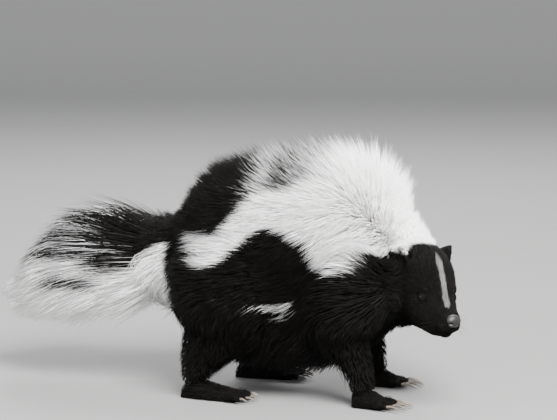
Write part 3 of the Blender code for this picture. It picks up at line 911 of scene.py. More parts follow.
def reach():
    """How far the coat's tips stand off the skin, measured out to the frame's surface."""
    tree = outline_tree(FLESH_NODES)
    farthest = 0.09
    hits = (tree.ray_cast(point, normal, farthest)[3] for point, normal in zip(points, normals))
    found = np.array([hit or 0.0 for hit in hits])
    nape = 0.020 + 0.040 * smooth_step(0.1, 0.5, normals[:, 2])
    most = by_kind(trunk=0.070, neck=nape, head=0.012, tail=0.030, leg=0.030, paw=0.0035)
    most = np.minimum(most, np.interp(from_ear, [0.0115, 0.0150, 0.0200], [0.0030, 0.0060, 0.08]))
    most *= 1 - 0.8 * share["leg"] * smooth_step(0.038, 0.022, height)
    under_tail = smooth_step(-0.080, -0.095, trunk_x) * smooth_step(0.120, 0.100, height)
    most *= 1 - 0.5 * share["trunk"] * under_tail
    thigh = smooth_step(0.060, 0.095, height)
    least = by_kind(head=0.0012, paw=0.0010, trunk=0.006, leg=0.0045 + 0.0105 * thigh)
    found = np.clip(found, least, most)
    for _ in range(25):
        found = skin_web.mean(found) * 0.7 + found * 0.3
    belly = smooth_step(0.085, 0.060, height)
    found *= 1 + (share["trunk"] + share["neck"]) * (0.04 + 0.16 * belly)
    found *= 0.30 + 0.70 * smooth_step(0.0056, 0.0125, from_eye)
    found *= 0.25 + 0.75 * smooth_step(-0.006, -0.030, local[:, 0])
    return np.clip(found, 0.0008, 0.07)


flow = lie()
depth = reach()


def lean():
    """How far a hair travels along the skin, in its own depths. On nape and rump it stands nearly upright."""
    top = smooth_step(0.2, 0.8, normals[:, 2])
    up_or_ahead = np.hypot(normals[:, 2], np.maximum(normals[:, 0], 0))
    nape = smooth_step(0.060, 0.095, trunk_x) * smooth_step(0.125, 0.155, height)
    nape *= smooth_step(0.45, 0.85, up_or_ahead) * smooth_step(0.75, 0.45, flank)
    rump = smooth_step(-0.030, -0.060, trunk_x) * smooth_step(0.120, 0.160, height)
    low = smooth_step(0.085, 0.060, height)
    trunk = (1.40 - 0.85 * top) * (1 - 0.80 * nape) * (1 - 0.60 * rump) * (1 - 0.45 * low)
    neck = (1.25 - 0.35 * top) * (1 - 0.75 * nape)
    hair = np.interp(local[:, 0], [-0.090, -0.060, -0.030, -0.008], [0.0130, 0.0095, 0.0060, 0.0032])
    hair *= 0.45 + 0.55 * smooth_step(0.0060, 0.0160, from_eye)
    hair *= 0.38 + 0.62 * smooth_step(0.0135, 0.0180, from_ear)
    head = np.clip(hair / depth, 1.2, 9.0)
    along_paw = sum(c * where for c, kind, (_, where, _) in zip(closeness, kinds, nearby) if kind == "paw")
    paw = np.clip((0.0085 - 0.0060 * along_paw) / depth, 0.8, 6.0)
    return by_kind(trunk=trunk, neck=neck, head=head, tail=1.2, leg=1.5, paw=paw)


leaning = lean()


# ---------------------------------------------------------------------------- the markings
# White from the nape over the shoulders, running back as a stripe down each side to the tail, round a dark
# back. A white blaze down the face, and a white smear low on the right flank. Skin and hair both read them.

WHITE_LOW = [  # x from the middle of the trunk, and the white's lower edge on the coat
    (-0.110, 0.148),
    (-0.079, 0.1395),
    (-0.0645, 0.1310),
    (-0.055, 0.1300),
    (-0.040, 0.1405),
    (-0.0265, 0.152),
    (-0.012, 0.1635),
    (0.000, 0.168),
    (0.018, 0.162),
    (0.0377, 0.1490),
    (0.0490, 0.1335),
    (0.0550, 0.1200),
    (0.0595, 0.1150),
    (0.0640, 0.1165),
    (0.0700, 0.1215),
    (0.0785, 0.1300),
    (0.0885, 0.1365),
    (0.0965, 0.1395),
    (0.108, 0.1415),
    (0.118, 0.1395),
    (0.130, 0.1385),
    (0.145, 0.143),
]
BLACK_BACK = [  # x, the lower edge of the dark hair between the stripes, and how much of it is dark
    (-0.110, 0.158, 1.0),
    (-0.0816, 0.1585, 1.0),
    (-0.0485, 0.1613, 1.0),
    (-0.0420, 0.166, 0.95),
    (-0.0363, 0.174, 0.74),
    (-0.0258, 0.187, 0.62),
    (-0.0203, 0.196, 0.50),
    (-0.012, 0.199, 0.44),
    (0.004, 0.202, 0.60),
    (0.020, 0.206, 0.50),
    (0.036, 0.213, 0.44),
    (0.050, 0.224, 0.0),
    (0.145, 0.300, 0.0),
]
TAIL_DARK = [  # x, and the lower edge of the dark upper side of the tail
    (-0.260, 0.122),
    (-0.205, 0.1256),
    (-0.177, 0.1186),
    (-0.157, 0.1126),
    (-0.147, 0.1175),
    (-0.131, 0.134),
    (-0.124, 0.143),
    (-0.093, 0.146),
]
BLAZE = [  # x behind the nose tip, and half the blaze's width
    (-0.0630, 0.0),
    (-0.0590, 0.0016),
    (-0.0540, 0.0036),
    (-0.0460, 0.0032),
    (-0.0300, 0.0030),
    (-0.0220, 0.0033),
    (-0.0180, 0.0028),
    (-0.0145, 0.0),
]


def edge(table, at, column=1):
    """What a column of a table says at places along it."""
    xs, *rest = zip(*table)
    return np.interp(at, xs, rest[column - 1])


def stripes(x, z):
    """White over the shoulders and down each side, forked by a little black at its hind end."""
    soft = np.interp(x, [-0.065, -0.045], [0.009, 0.005])
    dark = smooth_step(-soft, soft, z - edge(BLACK_BACK, x)) * edge(BLACK_BACK, x, 2)
    white = smooth_step(-soft, soft, z - edge(WHITE_LOW, x)) * (1 - dark) * smooth_step(-0.089, -0.081, x)
    fork_half = np.interp(x, [-0.085, -0.052], [0.0055, 0.0])
    fork = smooth_step(0.002, -0.002, np.abs(z - 0.1425) - fork_half)
    return white * (1 - 0.5 * fork * smooth_step(-0.052, -0.060, x))


def flank_smear(x, z):
    """A thin streak that rises to the front, and a fainter lobe under its front end."""
    streak_z = np.interp(x, [-0.023, 0.03], [0.0905, 0.0965])
    streak_half = np.interp(x, [-0.023, -0.010, 0.010, 0.020, 0.027], [0.0003, 0.0024, 0.0046, 0.0044, 0.0])
    streak = smooth_step(0.0025, -0.0015, np.abs(z - streak_z) - streak_half)
    streak *= smooth_step(-0.024, -0.019, x) * smooth_step(0.028, 0.024, x)
    lobe_half = np.interp(x, [0.004, 0.012, 0.020, 0.027], [0.0, 0.0042, 0.0038, 0.0])
    lobe = smooth_step(0.0025, -0.0015, np.abs(z - 0.0850) - lobe_half)
    lobe *= smooth_step(0.004, 0.009, x) * smooth_step(0.028, 0.024, x)
    return np.maximum(streak * 0.60, lobe * 0.44)


def tail_white(x, z):
    """White beneath with a grey band in it, dark above, and mixed at the end, with a painted highlight along
    one high line of its top.
    """
    tail = smooth_step(-0.006, 0.006, edge(TAIL_DARK, x) - z)
    band = smooth_step(-0.160, -0.180, x) * smooth_step(-0.240, -0.222, x)
    tail *= 1 - 0.78 * smooth_step(0.012, 0.004, np.abs(z - 0.1045)) * band
    tail *= smooth_step(0.050, 0.062, z + 0.010 * smooth_step(-0.16, -0.11, x))
    # painted highlight: the mixed end of the tail is paler along a line high on its top, where the light
    # falls
    high_line = np.interp(x, [-0.216, -0.162], [0.179, 0.165])
    lit = smooth_step(0.005, 0.0, np.abs(z - high_line))
    return np.maximum(tail, smooth_step(-0.150, -0.190, x) * (0.40 + 0.24 * lit))


def head_white(head_local, z):
    """The blaze, which leans to the left as it rises and is greyed by painted shade, and the nape, white
    farther down on the right.
    """
    x, y, up = head_local.T
    middle = np.interp(x, [-0.060, -0.040, -0.022, -0.015], [0.0030, 0.0012, -0.0006, -0.0014])
    blaze = smooth_step(0.0016, -0.0014, np.abs(y - middle) - edge(BLAZE, x))
    blaze *= (x > BLAZE[0][0]) * (x < BLAZE[-1][0]) * (up > 0)
    nape = smooth_step(-0.077, -0.084, x) * smooth_step(0.025, 0.032, up)
    nape *= smooth_step(0.030, 0.022, y) * smooth_step(0.042, 0.036, -y)
    nape *= smooth_step(0.120, 0.130, z)
    # painted shade: the blaze is held at 0.76 of full white, as if the forward-facing face were in shade
    return np.maximum(0.76 * blaze, nape)


def whiteness(seen, kind_share, head_local):
    """1 where the coat is white, 0 where it is black, for points on the coat's outside."""
    x, z = seen[:, 0] - MID_TRUNK, seen[:, 2]
    on_right = (seen[:, 1] < -0.03).astype(float)
    body = np.maximum(stripes(x, z), flank_smear(x, z) * on_right)
    tail = tail_white(x, z)
    by_tail = smooth_step(-0.104, -0.112, x) * smooth_step(0.072, 0.082, z) * kind_share["trunk"]
    body = body * (1 - by_tail) + tail * by_tail
    trunk = kind_share["trunk"] + kind_share["neck"] + kind_share["leg"]
    head = head_white(head_local, z) * kind_share["head"]
    return np.clip(body * trunk + tail * kind_share["tail"] + head, 0, 1)


seen = points + flow * (depth * leaning * 0.75)[:, None] + normals * (depth * 0.85)[:, None]
by_ear = smooth_step(0.0158, 0.0140, from_ear)  # the ears are black, but for the top of the right one
by_ear *= 1 - smooth_step(0.0345, 0.0375, local[:, 2]) * (local[:, 1] < 0)
# painted shade: on the front of the head the skin's white is cut to a quarter, greying the skin under the
# blaze
pale = whiteness(seen, share, local) * (1 - by_ear) * (1 - 0.75 * share["head"] * (local[:, 0] > -0.066))
pale *= 1 - smooth_step(0.050, 0.070, trunk_x) * (1 - share["head"]) * (1 - whiteness(points, share, local))


def store(mesh, name, values):
    """Gives each point of a mesh a number that its finish reads."""
    made = mesh.attributes.new(name, "FLOAT", "POINT")
    made.data.foreach_set("value", np.asarray(values, np.float32))


def skin_finish():
    """Hide under the coat, and the flat fur of the face: fine relief that runs back from the nose."""
    hide = Finish("hide")
    place = hide.node("ShaderNodeTexCoord", output="Object")
    inputs = {"Vector": place, "Rotation": HEAD.to_euler(), "Scale": (4.0, 1.0, 1.0)}
    turned = hide.node("ShaderNodeMapping", {"vector_type": "TEXTURE"}, inputs)
    hairs = hide.noise(turned, 1500.0, 2.0, 0.6)
    tone = hide.noise(place, 90.0, 3.0)
    black = hide.mix(tone, (0.0020, 0.0017, 0.0016), (0.0050, 0.0043, 0.0038))
    white = hide.mix(tone, (0.78, 0.76, 0.73), (0.88, 0.87, 0.85))
    colour = hide.mix(hide.attribute("pale"), black, white)
    hide.relief(hairs, 0.0005, 0.6)
    return hide.wear(Base_Color=colour, Roughness=0.72 - hairs * 0.15, Specular_IOR_Level=0.03)


store(skin_shape, "pale", pale)
skin = add_piece("skin", skin_shape, skin_finish(), "black_coat")
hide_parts(*FLESH_NODES)


# ---------------------------------------------------------------------------- the eyes
# Small, round and nearly black, sunk between the lids. Each is a ball, a little fuller in front, with a dark
# brown iris round a wide pupil.

EYE_NODES = {1: "eye_left", -1: "eye_right"}
EYE_BULGE = 0.00035


def eye_mesh(sign):
    centre, out, along, across = eye_axes(sign)
    turn = Matrix((along, across, out)).transposed().to_4x4()
    ball = bmesh.new()
    bmesh.ops.create_uvsphere(ball, u_segments=48, v_segments=36, radius=EYE_RADIUS)
    for vertex in ball.verts:
        vertex.co.z += EYE_BULGE * float(smooth_step(0.62, 0.95, vertex.co.z / EYE_RADIUS))
    for face in ball.faces:
        face.smooth = True
    bmesh.ops.transform(ball, matrix=Matrix.Translation(centre) @ turn, verts=ball.verts)
    return as_mesh("eye", ball)


def eye_finish(sign):
    gloss = Finish("eye_gloss_" + ("left" if sign > 0 else "right"))
    centre, out, _, _ = eye_axes(sign)
    place = gloss.node("ShaderNodeTexCoord", output="Object")
    kind = "ShaderNodeVectorMath"
    from_centre = gloss.node(kind, {"operation": "SUBTRACT"}, {0: place, 1: centre})
    forward = gloss.node(kind, {"operation": "DOT_PRODUCT"}, {0: from_centre, 1: out}, "Value")
    facing = forward * (1 / EYE_RADIUS)
    pupil = gloss.node("ShaderNodeMapRange", {}, {"Value": facing, "From Min": 0.80, "From Max": 0.90})
    fibres = gloss.noise(place, 2600.0, 2.0)
    brown = gloss.mix(fibres, (0.008, 0.004, 0.002), (0.018, 0.009, 0.005))
    colour = gloss.mix(pupil, brown, (0.002, 0.002, 0.002))
    return gloss.wear(Base_Color=colour, Roughness=0.06, Specular_IOR_Level=0.13)


for sign, node in EYE_NODES.items():
    eye = add_piece(node + "_ball", eye_mesh(sign), eye_finish(sign), "eyes")
    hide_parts(node)


# ---------------------------------------------------------------------------- the nose pad
# Bare, dark, finely pebbled leather, with a comma of a nostril on each side and a shallow groove between.

NOSE_RADII = np.array((0.0062, 0.0070, 0.0061))
NOSE_DENTS = [  # on the left: centre, radii, depth, and the power that squares the dent's edge
    ((0.0046, 0.0038, -0.0010), (0.003, 0.00125, 0.00115), 0.0026, 1.5),  # nostril
    ((0.0024, 0.0060, -0.0018), (0.0026, 0.0020, 0.00055), 0.0013, 1.0),  # the slit behind it
    ((0.0030, 0.0054, 0.0012), (0.003, 0.0018, 0.0016), -0.0005, 1.0),  # the wing over it, which stands out
]


def nose_mesh():
    across_face = Matrix.Rotation(math.pi / 2, 4, "Y")
    ball = bmesh.new()
    bmesh.ops.create_uvsphere(ball, u_segments=96, v_segments=64, radius=1, matrix=across_face)
    at = np.array([v.co for v in ball.verts]) * NOSE_RADII
    across = (at[:, 1:] / NOSE_RADII[1:]) ** 2
    diagonal = (across[:, :1] * across[:, 1:]) / np.maximum(across.sum(1, keepdims=True) ** 2, 1e-9)
    at[:, 1:] *= 1 + 0.28 * diagonal
    at[:, 0] *= 1 - 0.13 * smooth_step(0.3, 1.0, at[:, 0] / NOSE_RADII[0])
    away = unit(at / NOSE_RADII)
    for sign in (1, -1):
        for centre, radii, deep, power in NOSE_DENTS:
            gap = (at - np.array(centre) * np.array((1.0, sign, 1.0))) / np.array(radii)
            at -= away * (deep * np.exp(-((gap**2).sum(1)) ** power))[:, None]
    line = np.exp(-((at[:, 1] / 0.0005) ** 2)) * smooth_step(0.001, 0.004, at[:, 0])
    line *= smooth_step(0.003, 0.0, at[:, 2])
    at -= away * (0.0006 * line)[:, None]
    for vertex, co in zip(ball.verts, at + np.array(NOSE_PAD)):
        vertex.co = HEAD @ Vector(co)
    for face in ball.faces:
        face.smooth = True
    bmesh.ops.recalc_face_normals(ball, faces=ball.faces)
    return as_mesh("nose", ball)


def nose_finish():
    leather = Finish("nose_leather")
    place = leather.node("ShaderNodeTexCoord", output="Object")
    inputs = {"Vector": place, "Scale": 1900.0}
    pebbles = leather.node("ShaderNodeTexVoronoi", {"feature": "DISTANCE_TO_EDGE"}, inputs, "Distance")
    tone = leather.noise(place, 400.0)
    colour = leather.mix(tone, (0.007, 0.006, 0.006), (0.020, 0.017, 0.017))
    leather.relief(pebbles, 0.00018, 0.7)
    return leather.wear(Base_Color=colour, Roughness=0.28 + tone * 0.14, Specular_IOR_Level=0.46)


nose = add_piece("nose", nose_mesh(), nose_finish(), "nose")
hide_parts("nose_pad")


# ---------------------------------------------------------------------------- the claws
# Five to a foot: long, blunt diggers in front and short ones behind. Dark horn, mottled with paler grain,
# with fine grooves along it. Each curves down out of its toe to the floor.

CLAW_THICK = {"fore": 0.00165, "hind": 0.00150}  # half a claw's depth at its root
CLAW_SPARE = 0.001  # how far its tip runs past the frame's


def claw_mesh(root, way, long, thick):
    """A tapered, curved cone, deeper than it is wide, flat beneath."""
    rings, sides, droop = 14, 14, 0.16
    across = way.cross(Vector((0, 0, 1))).normalized()
    shape = bmesh.new()
    loops = []
    for k in range(rings):
        t = k / rings
        bow = math.sin(math.pi * min(1.0, t * 1.1)) * 0.08 - 0.18 * t * t
        centre = root + way * long * t + Vector((0, 0, long * bow))
        size = thick * (1 - t) ** 0.55 * (0.85 + 0.25 * math.sin(math.pi * t))
        loop = []
        for j in range(sides):
            turn = 2 * math.pi * j / sides
            drop = 0.8 if math.sin(turn) < 0 else 1.0
            ridge = 1 + 0.03 * math.cos(5 * turn)
            aside = across * size * 0.8 * ridge * math.cos(turn)
            spot = centre + aside + Vector((0, 0, size * drop * ridge * math.sin(turn)))
            spot.z = max(spot.z, SOLE)
            loop.append(shape.verts.new(spot))
        loops.append(loop)
    tip = root + way * long + Vector((0, 0, -long * droop))
    tip.z = max(tip.z, SOLE + 0.0002)
    tip = shape.verts.new(tip)
    for a, b in zip(loops, loops[1:]):
        for j in range(sides):
            shape.faces.new((a[j], a[j - 1], b[j - 1], b[j])).smooth = True
    for j in range(sides):
        shape.faces.new((loops[-1][j], loops[-1][j - 1], tip)).smooth = True
    shape.faces.new(loops[0])
    bmesh.ops.recalc_face_normals(shape, faces=shape.faces)
    return as_mesh("claw", shape)


def horn_finish():
    horn = Finish("claw_horn")
    place = horn.node("ShaderNodeTexCoord", output="Object")
    inputs = {"Vector": place, "Scale": (6.0, 1.0, 1.0)}
    stretched = horn.node("ShaderNodeMapping", {"vector_type": "TEXTURE"}, inputs)
    grain = horn.noise(stretched, 2200.0, 3.0)
    colour = horn.mix(grain, (0.040, 0.031, 0.025), (0.15, 0.12, 0.095))
    horn.relief(grain, 0.00012, 0.5)
    return horn.wear(Base_Color=colour, Roughness=0.30 + grain * 0.2)


claw_horn = horn_finish()
for place in LEGS:
    for k, (root, way, long) in enumerate(claw_places(place)):
        mesh = claw_mesh(root, way, long + CLAW_SPARE, CLAW_THICK[place[:4]])
        claw = add_piece(f"horn_{place}_{k + 1}", mesh, claw_horn, "claws")
        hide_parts(f"claw_{place}_{k + 1}")


# ---------------------------------------------------------------------------- the tufts
# Each lock of hair is a thin closed blade, three-sided, that leaves the skin, bends over along the lie of the
# coat and ends in a point. Neighbouring locks draw together towards their tips.

chance = np.random.default_rng(11)
skin_shape.calc_loop_triangles()
corners = read(skin_shape.loop_triangles, "vertices", 3, np.int32)
spans = points[corners]
areas = np.linalg.norm(np.cross(spans[:, 1] - spans[:, 0], spans[:, 2] - spans[:, 0]), axis=1) / 2
skin_tree = BVHTree.FromPolygons([tuple(p) for p in points], [tuple(int(i) for i in c) for c in corners])
THINNER = 1.0  # the share of the locks that is grown
ROOT_DEPTH = 0.0006  # how far under the skin a lock starts
PATCH = 0.003  # a lock's size on the map that its colours are baked to


def wave(places, size, seed):
    """Smooth noise between -1 and 1, from a few crossed sines."""
    draw = np.random.default_rng(seed)
    total = np.zeros(len(places))
    for _ in range(5):
        way = draw.normal(size=3)
        way /= np.linalg.norm(way)
        total += np.sin(places @ way * (2 * np.pi / size * draw.uniform(0.6, 1.5)) + draw.uniform(0, 6.3))
    return total / 3.2


def scatter(weight, count):
    """Faces and places in them for so many roots, as thick on the skin as weight says."""
    reached = np.cumsum(areas * weight[corners].mean(1))
    ticks = (np.arange(count) + chance.random(count)) / count * reached[-1]
    face = np.searchsorted(reached, ticks)
    a, b = chance.random((2, count))
    fold = a + b > 1
    a[fold], b[fold] = 1 - a[fold], 1 - b[fold]
    return face, np.stack([1 - a - b, a, b], 1)


def at_roots(roots, values):
    """What the skin's values are at the roots."""
    face, weights = roots
    picked = values[corners[face]]
    if values.ndim == 1:
        return (picked * weights).sum(1)
    return (picked * weights[..., None]).sum(1)


def over_faces(values):
    return values[corners].mean(1)


face_normals = unit(over_faces(normals))
face_flow = unit(over_faces(flow))
face_depth = over_faces(depth)


def comb(start, way, travel, steps):
    """Follows the lie of the coat over the skin. Gives where each step comes to, and which way is up and how
    deep the coat is there."""
    place, ups, deep = [start], [], []
    at = start.copy()
    run = way.copy()
    for step in range(steps):
        target = at + run * (travel / steps)[:, None]
        found = [skin_tree.find_nearest(point) for point in target]
        face = np.array([hit[2] for hit in found])
        at = np.array([hit[0] for hit in found])
        up = face_normals[face]
        run = run * 0.6 + face_flow[face] * 0.4
        run = unit(run - up * (run * up).sum(1, keepdims=True))
        place.append(at)
        ups.append(up)
        deep.append(face_depth[face])
    return np.stack(place, 1), ups, deep


def draw_together(lines, roots, spacing, strength, power=1.4):
    """Pulls the tips of neighbouring locks towards a leader's."""
    leaders = chance.permutation(len(roots))[: max(1, int(len(roots) / spacing))]
    tree = KDTree(len(leaders))
    for index, leader in enumerate(leaders):
        tree.insert(roots[leader], index)
    tree.balance()
    chosen = leaders[np.array([tree.find(root)[1] for root in roots])]
    t = np.linspace(0, 1, lines.shape[1])[None, :, None]
    pull = (strength * chance.uniform(0.6, 1.15, len(roots)))[:, None, None] * t**power
    return lines + (lines[chosen] - lines) * np.clip(pull, 0, 0.95)


def blades(name, lines, up, wide, unwrap, look):
    """The mesh of one piece of coat: a three-sided blade along each line."""
    count, steps = lines.shape[:2]
    flatness = 0.6
    run = unit(np.gradient(lines, axis=1))
    side = unit(np.cross(run, up))
    rise = np.cross(side, run)
    t = np.linspace(0, 1, steps)
    taper = np.interp(t, [0, 0.12, 0.4, 0.75, 1.0], [0.6, 0.9, 1.0, 0.62, 0.0])
    rings = []
    for corner in range(3):
        turn = math.radians(90 + 120 * corner)
        offset = side * math.cos(turn) + rise * (flatness * math.sin(turn))
        rings.append(lines + offset * (taper[None, :, None] * wide[:, None, None]))
    rings = np.stack(rings, 2)[:, 1:-1]
    per = 3 * (steps - 2) + 2
    verts = np.concatenate([lines[:, :1], rings.reshape(count, -1, 3), lines[:, -1:]], 1).reshape(-1, 3)
    faces = []
    for c in range(3):
        d = (c + 1) % 3
        faces.append((0, 1 + d, 1 + c))
        faces.append((per - 1, per - 4 + c, per - 4 + d))
        for ring in range(steps - 3):
            low = 1 + 3 * ring
            faces.append((low + c, low + d, low + 3 + d))
            faces.append((low + c, low + 3 + d, low + 3 + c))
    faces = np.array(faces, np.int32)
    every = (faces[None] + (np.arange(count, dtype=np.int32) * per)[:, None, None]).reshape(-1, 3)
    mesh = bpy.data.meshes.new(name)
    mesh.vertices.add(len(verts))
    mesh.vertices.foreach_set("co", verts.astype(np.float32).ravel())
    mesh.loops.add(every.size)
    mesh.loops.foreach_set("vertex_index", every.ravel())
    mesh.polygons.add(len(every))
    mesh.polygons.foreach_set("loop_start", np.arange(0, every.size, 3, dtype=np.int32))
    mesh.update(calc_edges=True)
    mesh.shade_smooth()
    along = np.concatenate([[0], np.repeat(t[1:-1], 3), [1]])
    store(mesh, "along", np.tile(along, count))
    for key, values in look.items():
        store(mesh, key, np.repeat(values, per))
    across = np.concatenate([[0], np.tile([0, -1, 1], steps - 2), [0]])
    patch = np.stack([np.tile(across, count) * PATCH / 2, (np.tile(along, count) - 0.5) * PATCH], 1)
    spots = (np.repeat(unwrap, per, 0) + patch)[every.ravel()]
    layer = mesh.uv_layers.new(name="OFBake")
    layer.uv.foreach_set("vector", spots.astype(np.float32).ravel())
    return mesh


def unwrapped(places, kind):
    """Round and along the nearest length of a kind, each stretched to fill the map."""
    found = [item for item, name in zip(nearness(places), kinds) if name == kind]
    rows = [length.rows for length in lengths if length.name == kind]
    best = np.argmin([item[0] for item in found], 0)
    u, v = np.zeros(len(places)), np.zeros(len(places))
    for k, (item, row) in enumerate(zip(found, rows)):
        mine = best == k
        at = item[1][mine] * (len(row) - 1)
        low = np.minimum(at.astype(int), len(row) - 2)
        middle = row[low, :3] * (1 - (at - low))[:, None] + row[low + 1, :3] * (at - low)[:, None]
        away = places[mine] - middle
        up, side = unit(row[low, 3:6]), unit(row[low, 9:12])
        turn = np.arctan2((away * side).sum(1), (away * up).sum(1)) / (2 * np.pi) + 0.5
        u[mine] = (k + turn) / len(rows)
        v[mine] = item[1][mine]
    for values in (u, v):
        low, high = np.percentile(values, [0.5, 99.5])
        values[:] = np.clip((values - low) / max(high - low, 1e-6), 0, 1) * 0.96 + 0.02
    return np.stack([u, v], 1)


def coat_finish():
    """White, warmer at the root and darker there as painted shade deep in the coat; or black with a brown
    cast; each lock unlike the next.
    """
    fur = Finish("fur")
    shade = fur.attribute("shade")
    along = fur.attribute("along")
    black = fur.mix(shade, (0.0014, 0.0012, 0.0011), (0.0070, 0.0060, 0.0052))
    # painted shade: the white is darker toward the root, standing for the shade inside the coat
    shaded_root_white = fur.mix(shade, (0.80, 0.785, 0.76), (0.90, 0.89, 0.87))
    bright = fur.mix(shade, (0.93, 0.925, 0.915), (0.98, 0.976, 0.968))
    white = fur.mix(along, shaded_root_white, bright)
    colour = fur.mix(fur.attribute("pale"), black, white)
    return fur.wear(Base_Color=colour, Roughness=0.50 + shade * 0.18, Specular_IOR_Level=0.08)


fur = coat_finish()


def clear_of_eyes(start, way, travel):
    """Shortens the locks that would lie over an eye."""
    eye_room, stop_short, stub = 0.0052, 0.0050, 0.0008
    for sign in (1, -1):
        to_eye = np.array(eye_axes(sign)[0]) - start
        along = (to_eye * way).sum(1)
        beside = np.sqrt(np.maximum((to_eye**2).sum(1) - along**2, 0))
        blocked = (along > 0) & (beside < eye_room)
        travel = np.where(blocked, np.clip(along - stop_short, stub, travel), travel)
    return travel


def hair_look(lines, roots, kind):
    """How white each lock is and its shade. The markings' edges are ragged, lock by lock and tuft by tuft."""
    count = len(lines)
    start = at_roots(roots, points)
    shares = {key: at_roots(roots, values) for key, values in share.items()}
    outer = 0.35 * lines[:, -2] + 0.65 * lines[:, -1]
    amount = whiteness(outer, shares, in_head_axes((lines[:, 0] + lines[:, -1]) / 2))
    inner = 0.65 * lines[:, 1] + 0.35 * lines[:, -2]
    at_front = smooth_step(0.052, 0.066, inner[:, 0] - MID_TRUNK) * (1 - shares["head"])
    amount *= 1 - 0.92 * at_front * (1 - whiteness(inner, shares, in_head_axes(inner)))
    blend = 0.12 if kind == "head" else 0.13
    tuft = blend * (chance.normal(size=count) + wave(start, 0.011, 7))
    is_white = smooth_step(0.42, 0.58, amount + tuft) * np.clip(amount + 0.04, 0, 1)
    is_white *= 1 - at_roots(roots, by_ear)
    # painted shade: on the front of the face about 78% of each lock's white is taken away, greying the blaze
    # as if it were in shade
    face_shade_mask = smooth_step(-0.070, -0.064, in_head_axes(start)[:, 0])
    is_white *= 1 - face_shade_mask * shares["head"] * np.clip(0.78 + 0.10 * chance.normal(size=count), 0, 1)
    shade = np.clip(0.5 + 0.25 * chance.normal(size=count) + 0.2 * wave(start, 0.02, 9), 0, 1)
    return {"pale": is_white, "shade": shade}


def coat_piece(name, weight, count, kind, wide, slot, bend=1.8, clump=(14, 0.38), stray=0.08):
    """Grows one piece of coat where weight isn't 0. Most locks are fine, over broader, shorter ones. The bend
    is how soon a lock lies over: 1 is straight, and long hair on the back is nearly so."""
    count = int(count * THINNER)
    steps = 3
    roots = scatter(weight, count)
    start = at_roots(roots, points)
    up = unit(at_roots(roots, normals))
    way = unit(at_roots(roots, flow))
    deep = at_roots(roots, depth)
    travel = deep * at_roots(roots, leaning) * chance.uniform(0.75, 1.25, count)
    swing = 0.18 * wave(start, 0.034, 5) + 0.10 * wave(start, 0.010, 6) + stray * chance.normal(size=count)
    way = unit(way + np.cross(up, way) * swing[:, None])
    path, ups, deeps = comb(start, way, clear_of_eyes(start, way, travel), steps)
    ups = np.stack([up, *ups], 1)
    deeps = np.stack([deep, *deeps], 1)
    t = np.linspace(0, 1, steps + 1)
    under = chance.random(count) < 0.25
    loose = ~under & (chance.random(count) < 0.10)
    full = np.clip(1.04 - 0.34 * chance.random(count) ** 1.8 + 0.05 * wave(start, 0.014, 8), 0.35, 1.10)
    full = full * np.where(under, 0.74, 1.0) + np.where(loose, chance.uniform(0.02, 0.12, count), 0.0)
    power = bend - (bend - 1.15) * smooth_step(0.3, 0.8, up[:, 2]) * (bend < 2)
    rise = 1 - (1 - t[None]) ** power[:, None]
    lines = path + ups * (deeps * full[:, None] * rise)[..., None]
    lines[:, 0] = start - up * ROOT_DEPTH
    lines[:, 1:-1] = (lines[:, :-2] + 2 * lines[:, 1:-1] + lines[:, 2:]) / 4
    lines = draw_together(lines, start, *clump)
    curl = chance.normal(size=(count, 3)) * 0.045
    curl = (curl * np.linalg.norm(lines[:, -1] - lines[:, 0], axis=1)[:, None])[:, None]
    lines += curl * (t**2)[None, :, None]
    lines[..., 2] = np.maximum(lines[..., 2], SOLE + 0.0002)
    look = hair_look(lines, roots, kind)
    widths = wide * chance.uniform(0.7, 1.3, count) * np.where(under, 2.1, 1.0) * np.where(loose, 0.65, 1.0)
    up = np.broadcast_to(up[:, None], lines.shape)
    add_piece(name, blades(name, lines, up, widths, unwrapped(start, kind), look), fur, slot)


# ---------------------------------------------------------------------------- the coat, body
# Long guard hair. It stands up and out along the back and nape, leans back down the sides and hangs under the
# belly. The bare places are the eyes, the nose pad, the lips and the soles.

hairless = from_eye < 0.0053
hairless |= np.linalg.norm((local - np.array(NOSE_PAD)) / (0.0068, 0.0074, 0.0066), axis=1) < 1
for sign in (1, -1):
    hairless |= gap_to(points, mouth_line(sign)) < 0.0009
hairless |= height < 0.0016
strongest = np.array(list(share))[np.argmax(list(share.values()), 0)]
body, neck, face, shanks, feet = (
    np.where(hairless, 0.0, 1.0) * (strongest == kind) for kind in ("trunk", "neck", "head", "leg", "paw")
)
right = points[:, 1] < 0
above = height > 0.105
ahead = trunk_x > 0.030
for side, on_side, count in (("right", right, 13000), ("left", ~right, 11000)):
    shoulders, back = (body * part * above * on_side for part in (ahead, ~ahead))
    coat_piece("coat_shoulders_" + side, shoulders, count, "trunk", 0.00036, "white_coat")
    coat_piece("coat_back_" + side, back, count, "trunk", 0.00038, "black_coat")
coat_piece("coat_belly", body * ~above, 8200, "trunk", 0.00046, "black_coat")
coat_piece("coat_neck", neck, 10500, "neck", 0.00032, "white_coat", clump=(18, 0.55), stray=0.03)


# ---------------------------------------------------------------------------- the coat, head
# Short and close, longest on the cheeks and crown, and finest round the eyes and on the muzzle. A few stiff,
# short whiskers stand out from the pads beside the nose.

crown = local[:, 0] < -0.050
coat_piece("coat_face", face * ~crown, 12000, "head", 0.00015, "black_coat", 2.6, (7, 0.30), 0.05)
coat_piece("coat_crown", face * crown, 8500, "head", 0.00022, "black_coat", 2.2, (8, 0.35), 0.07)


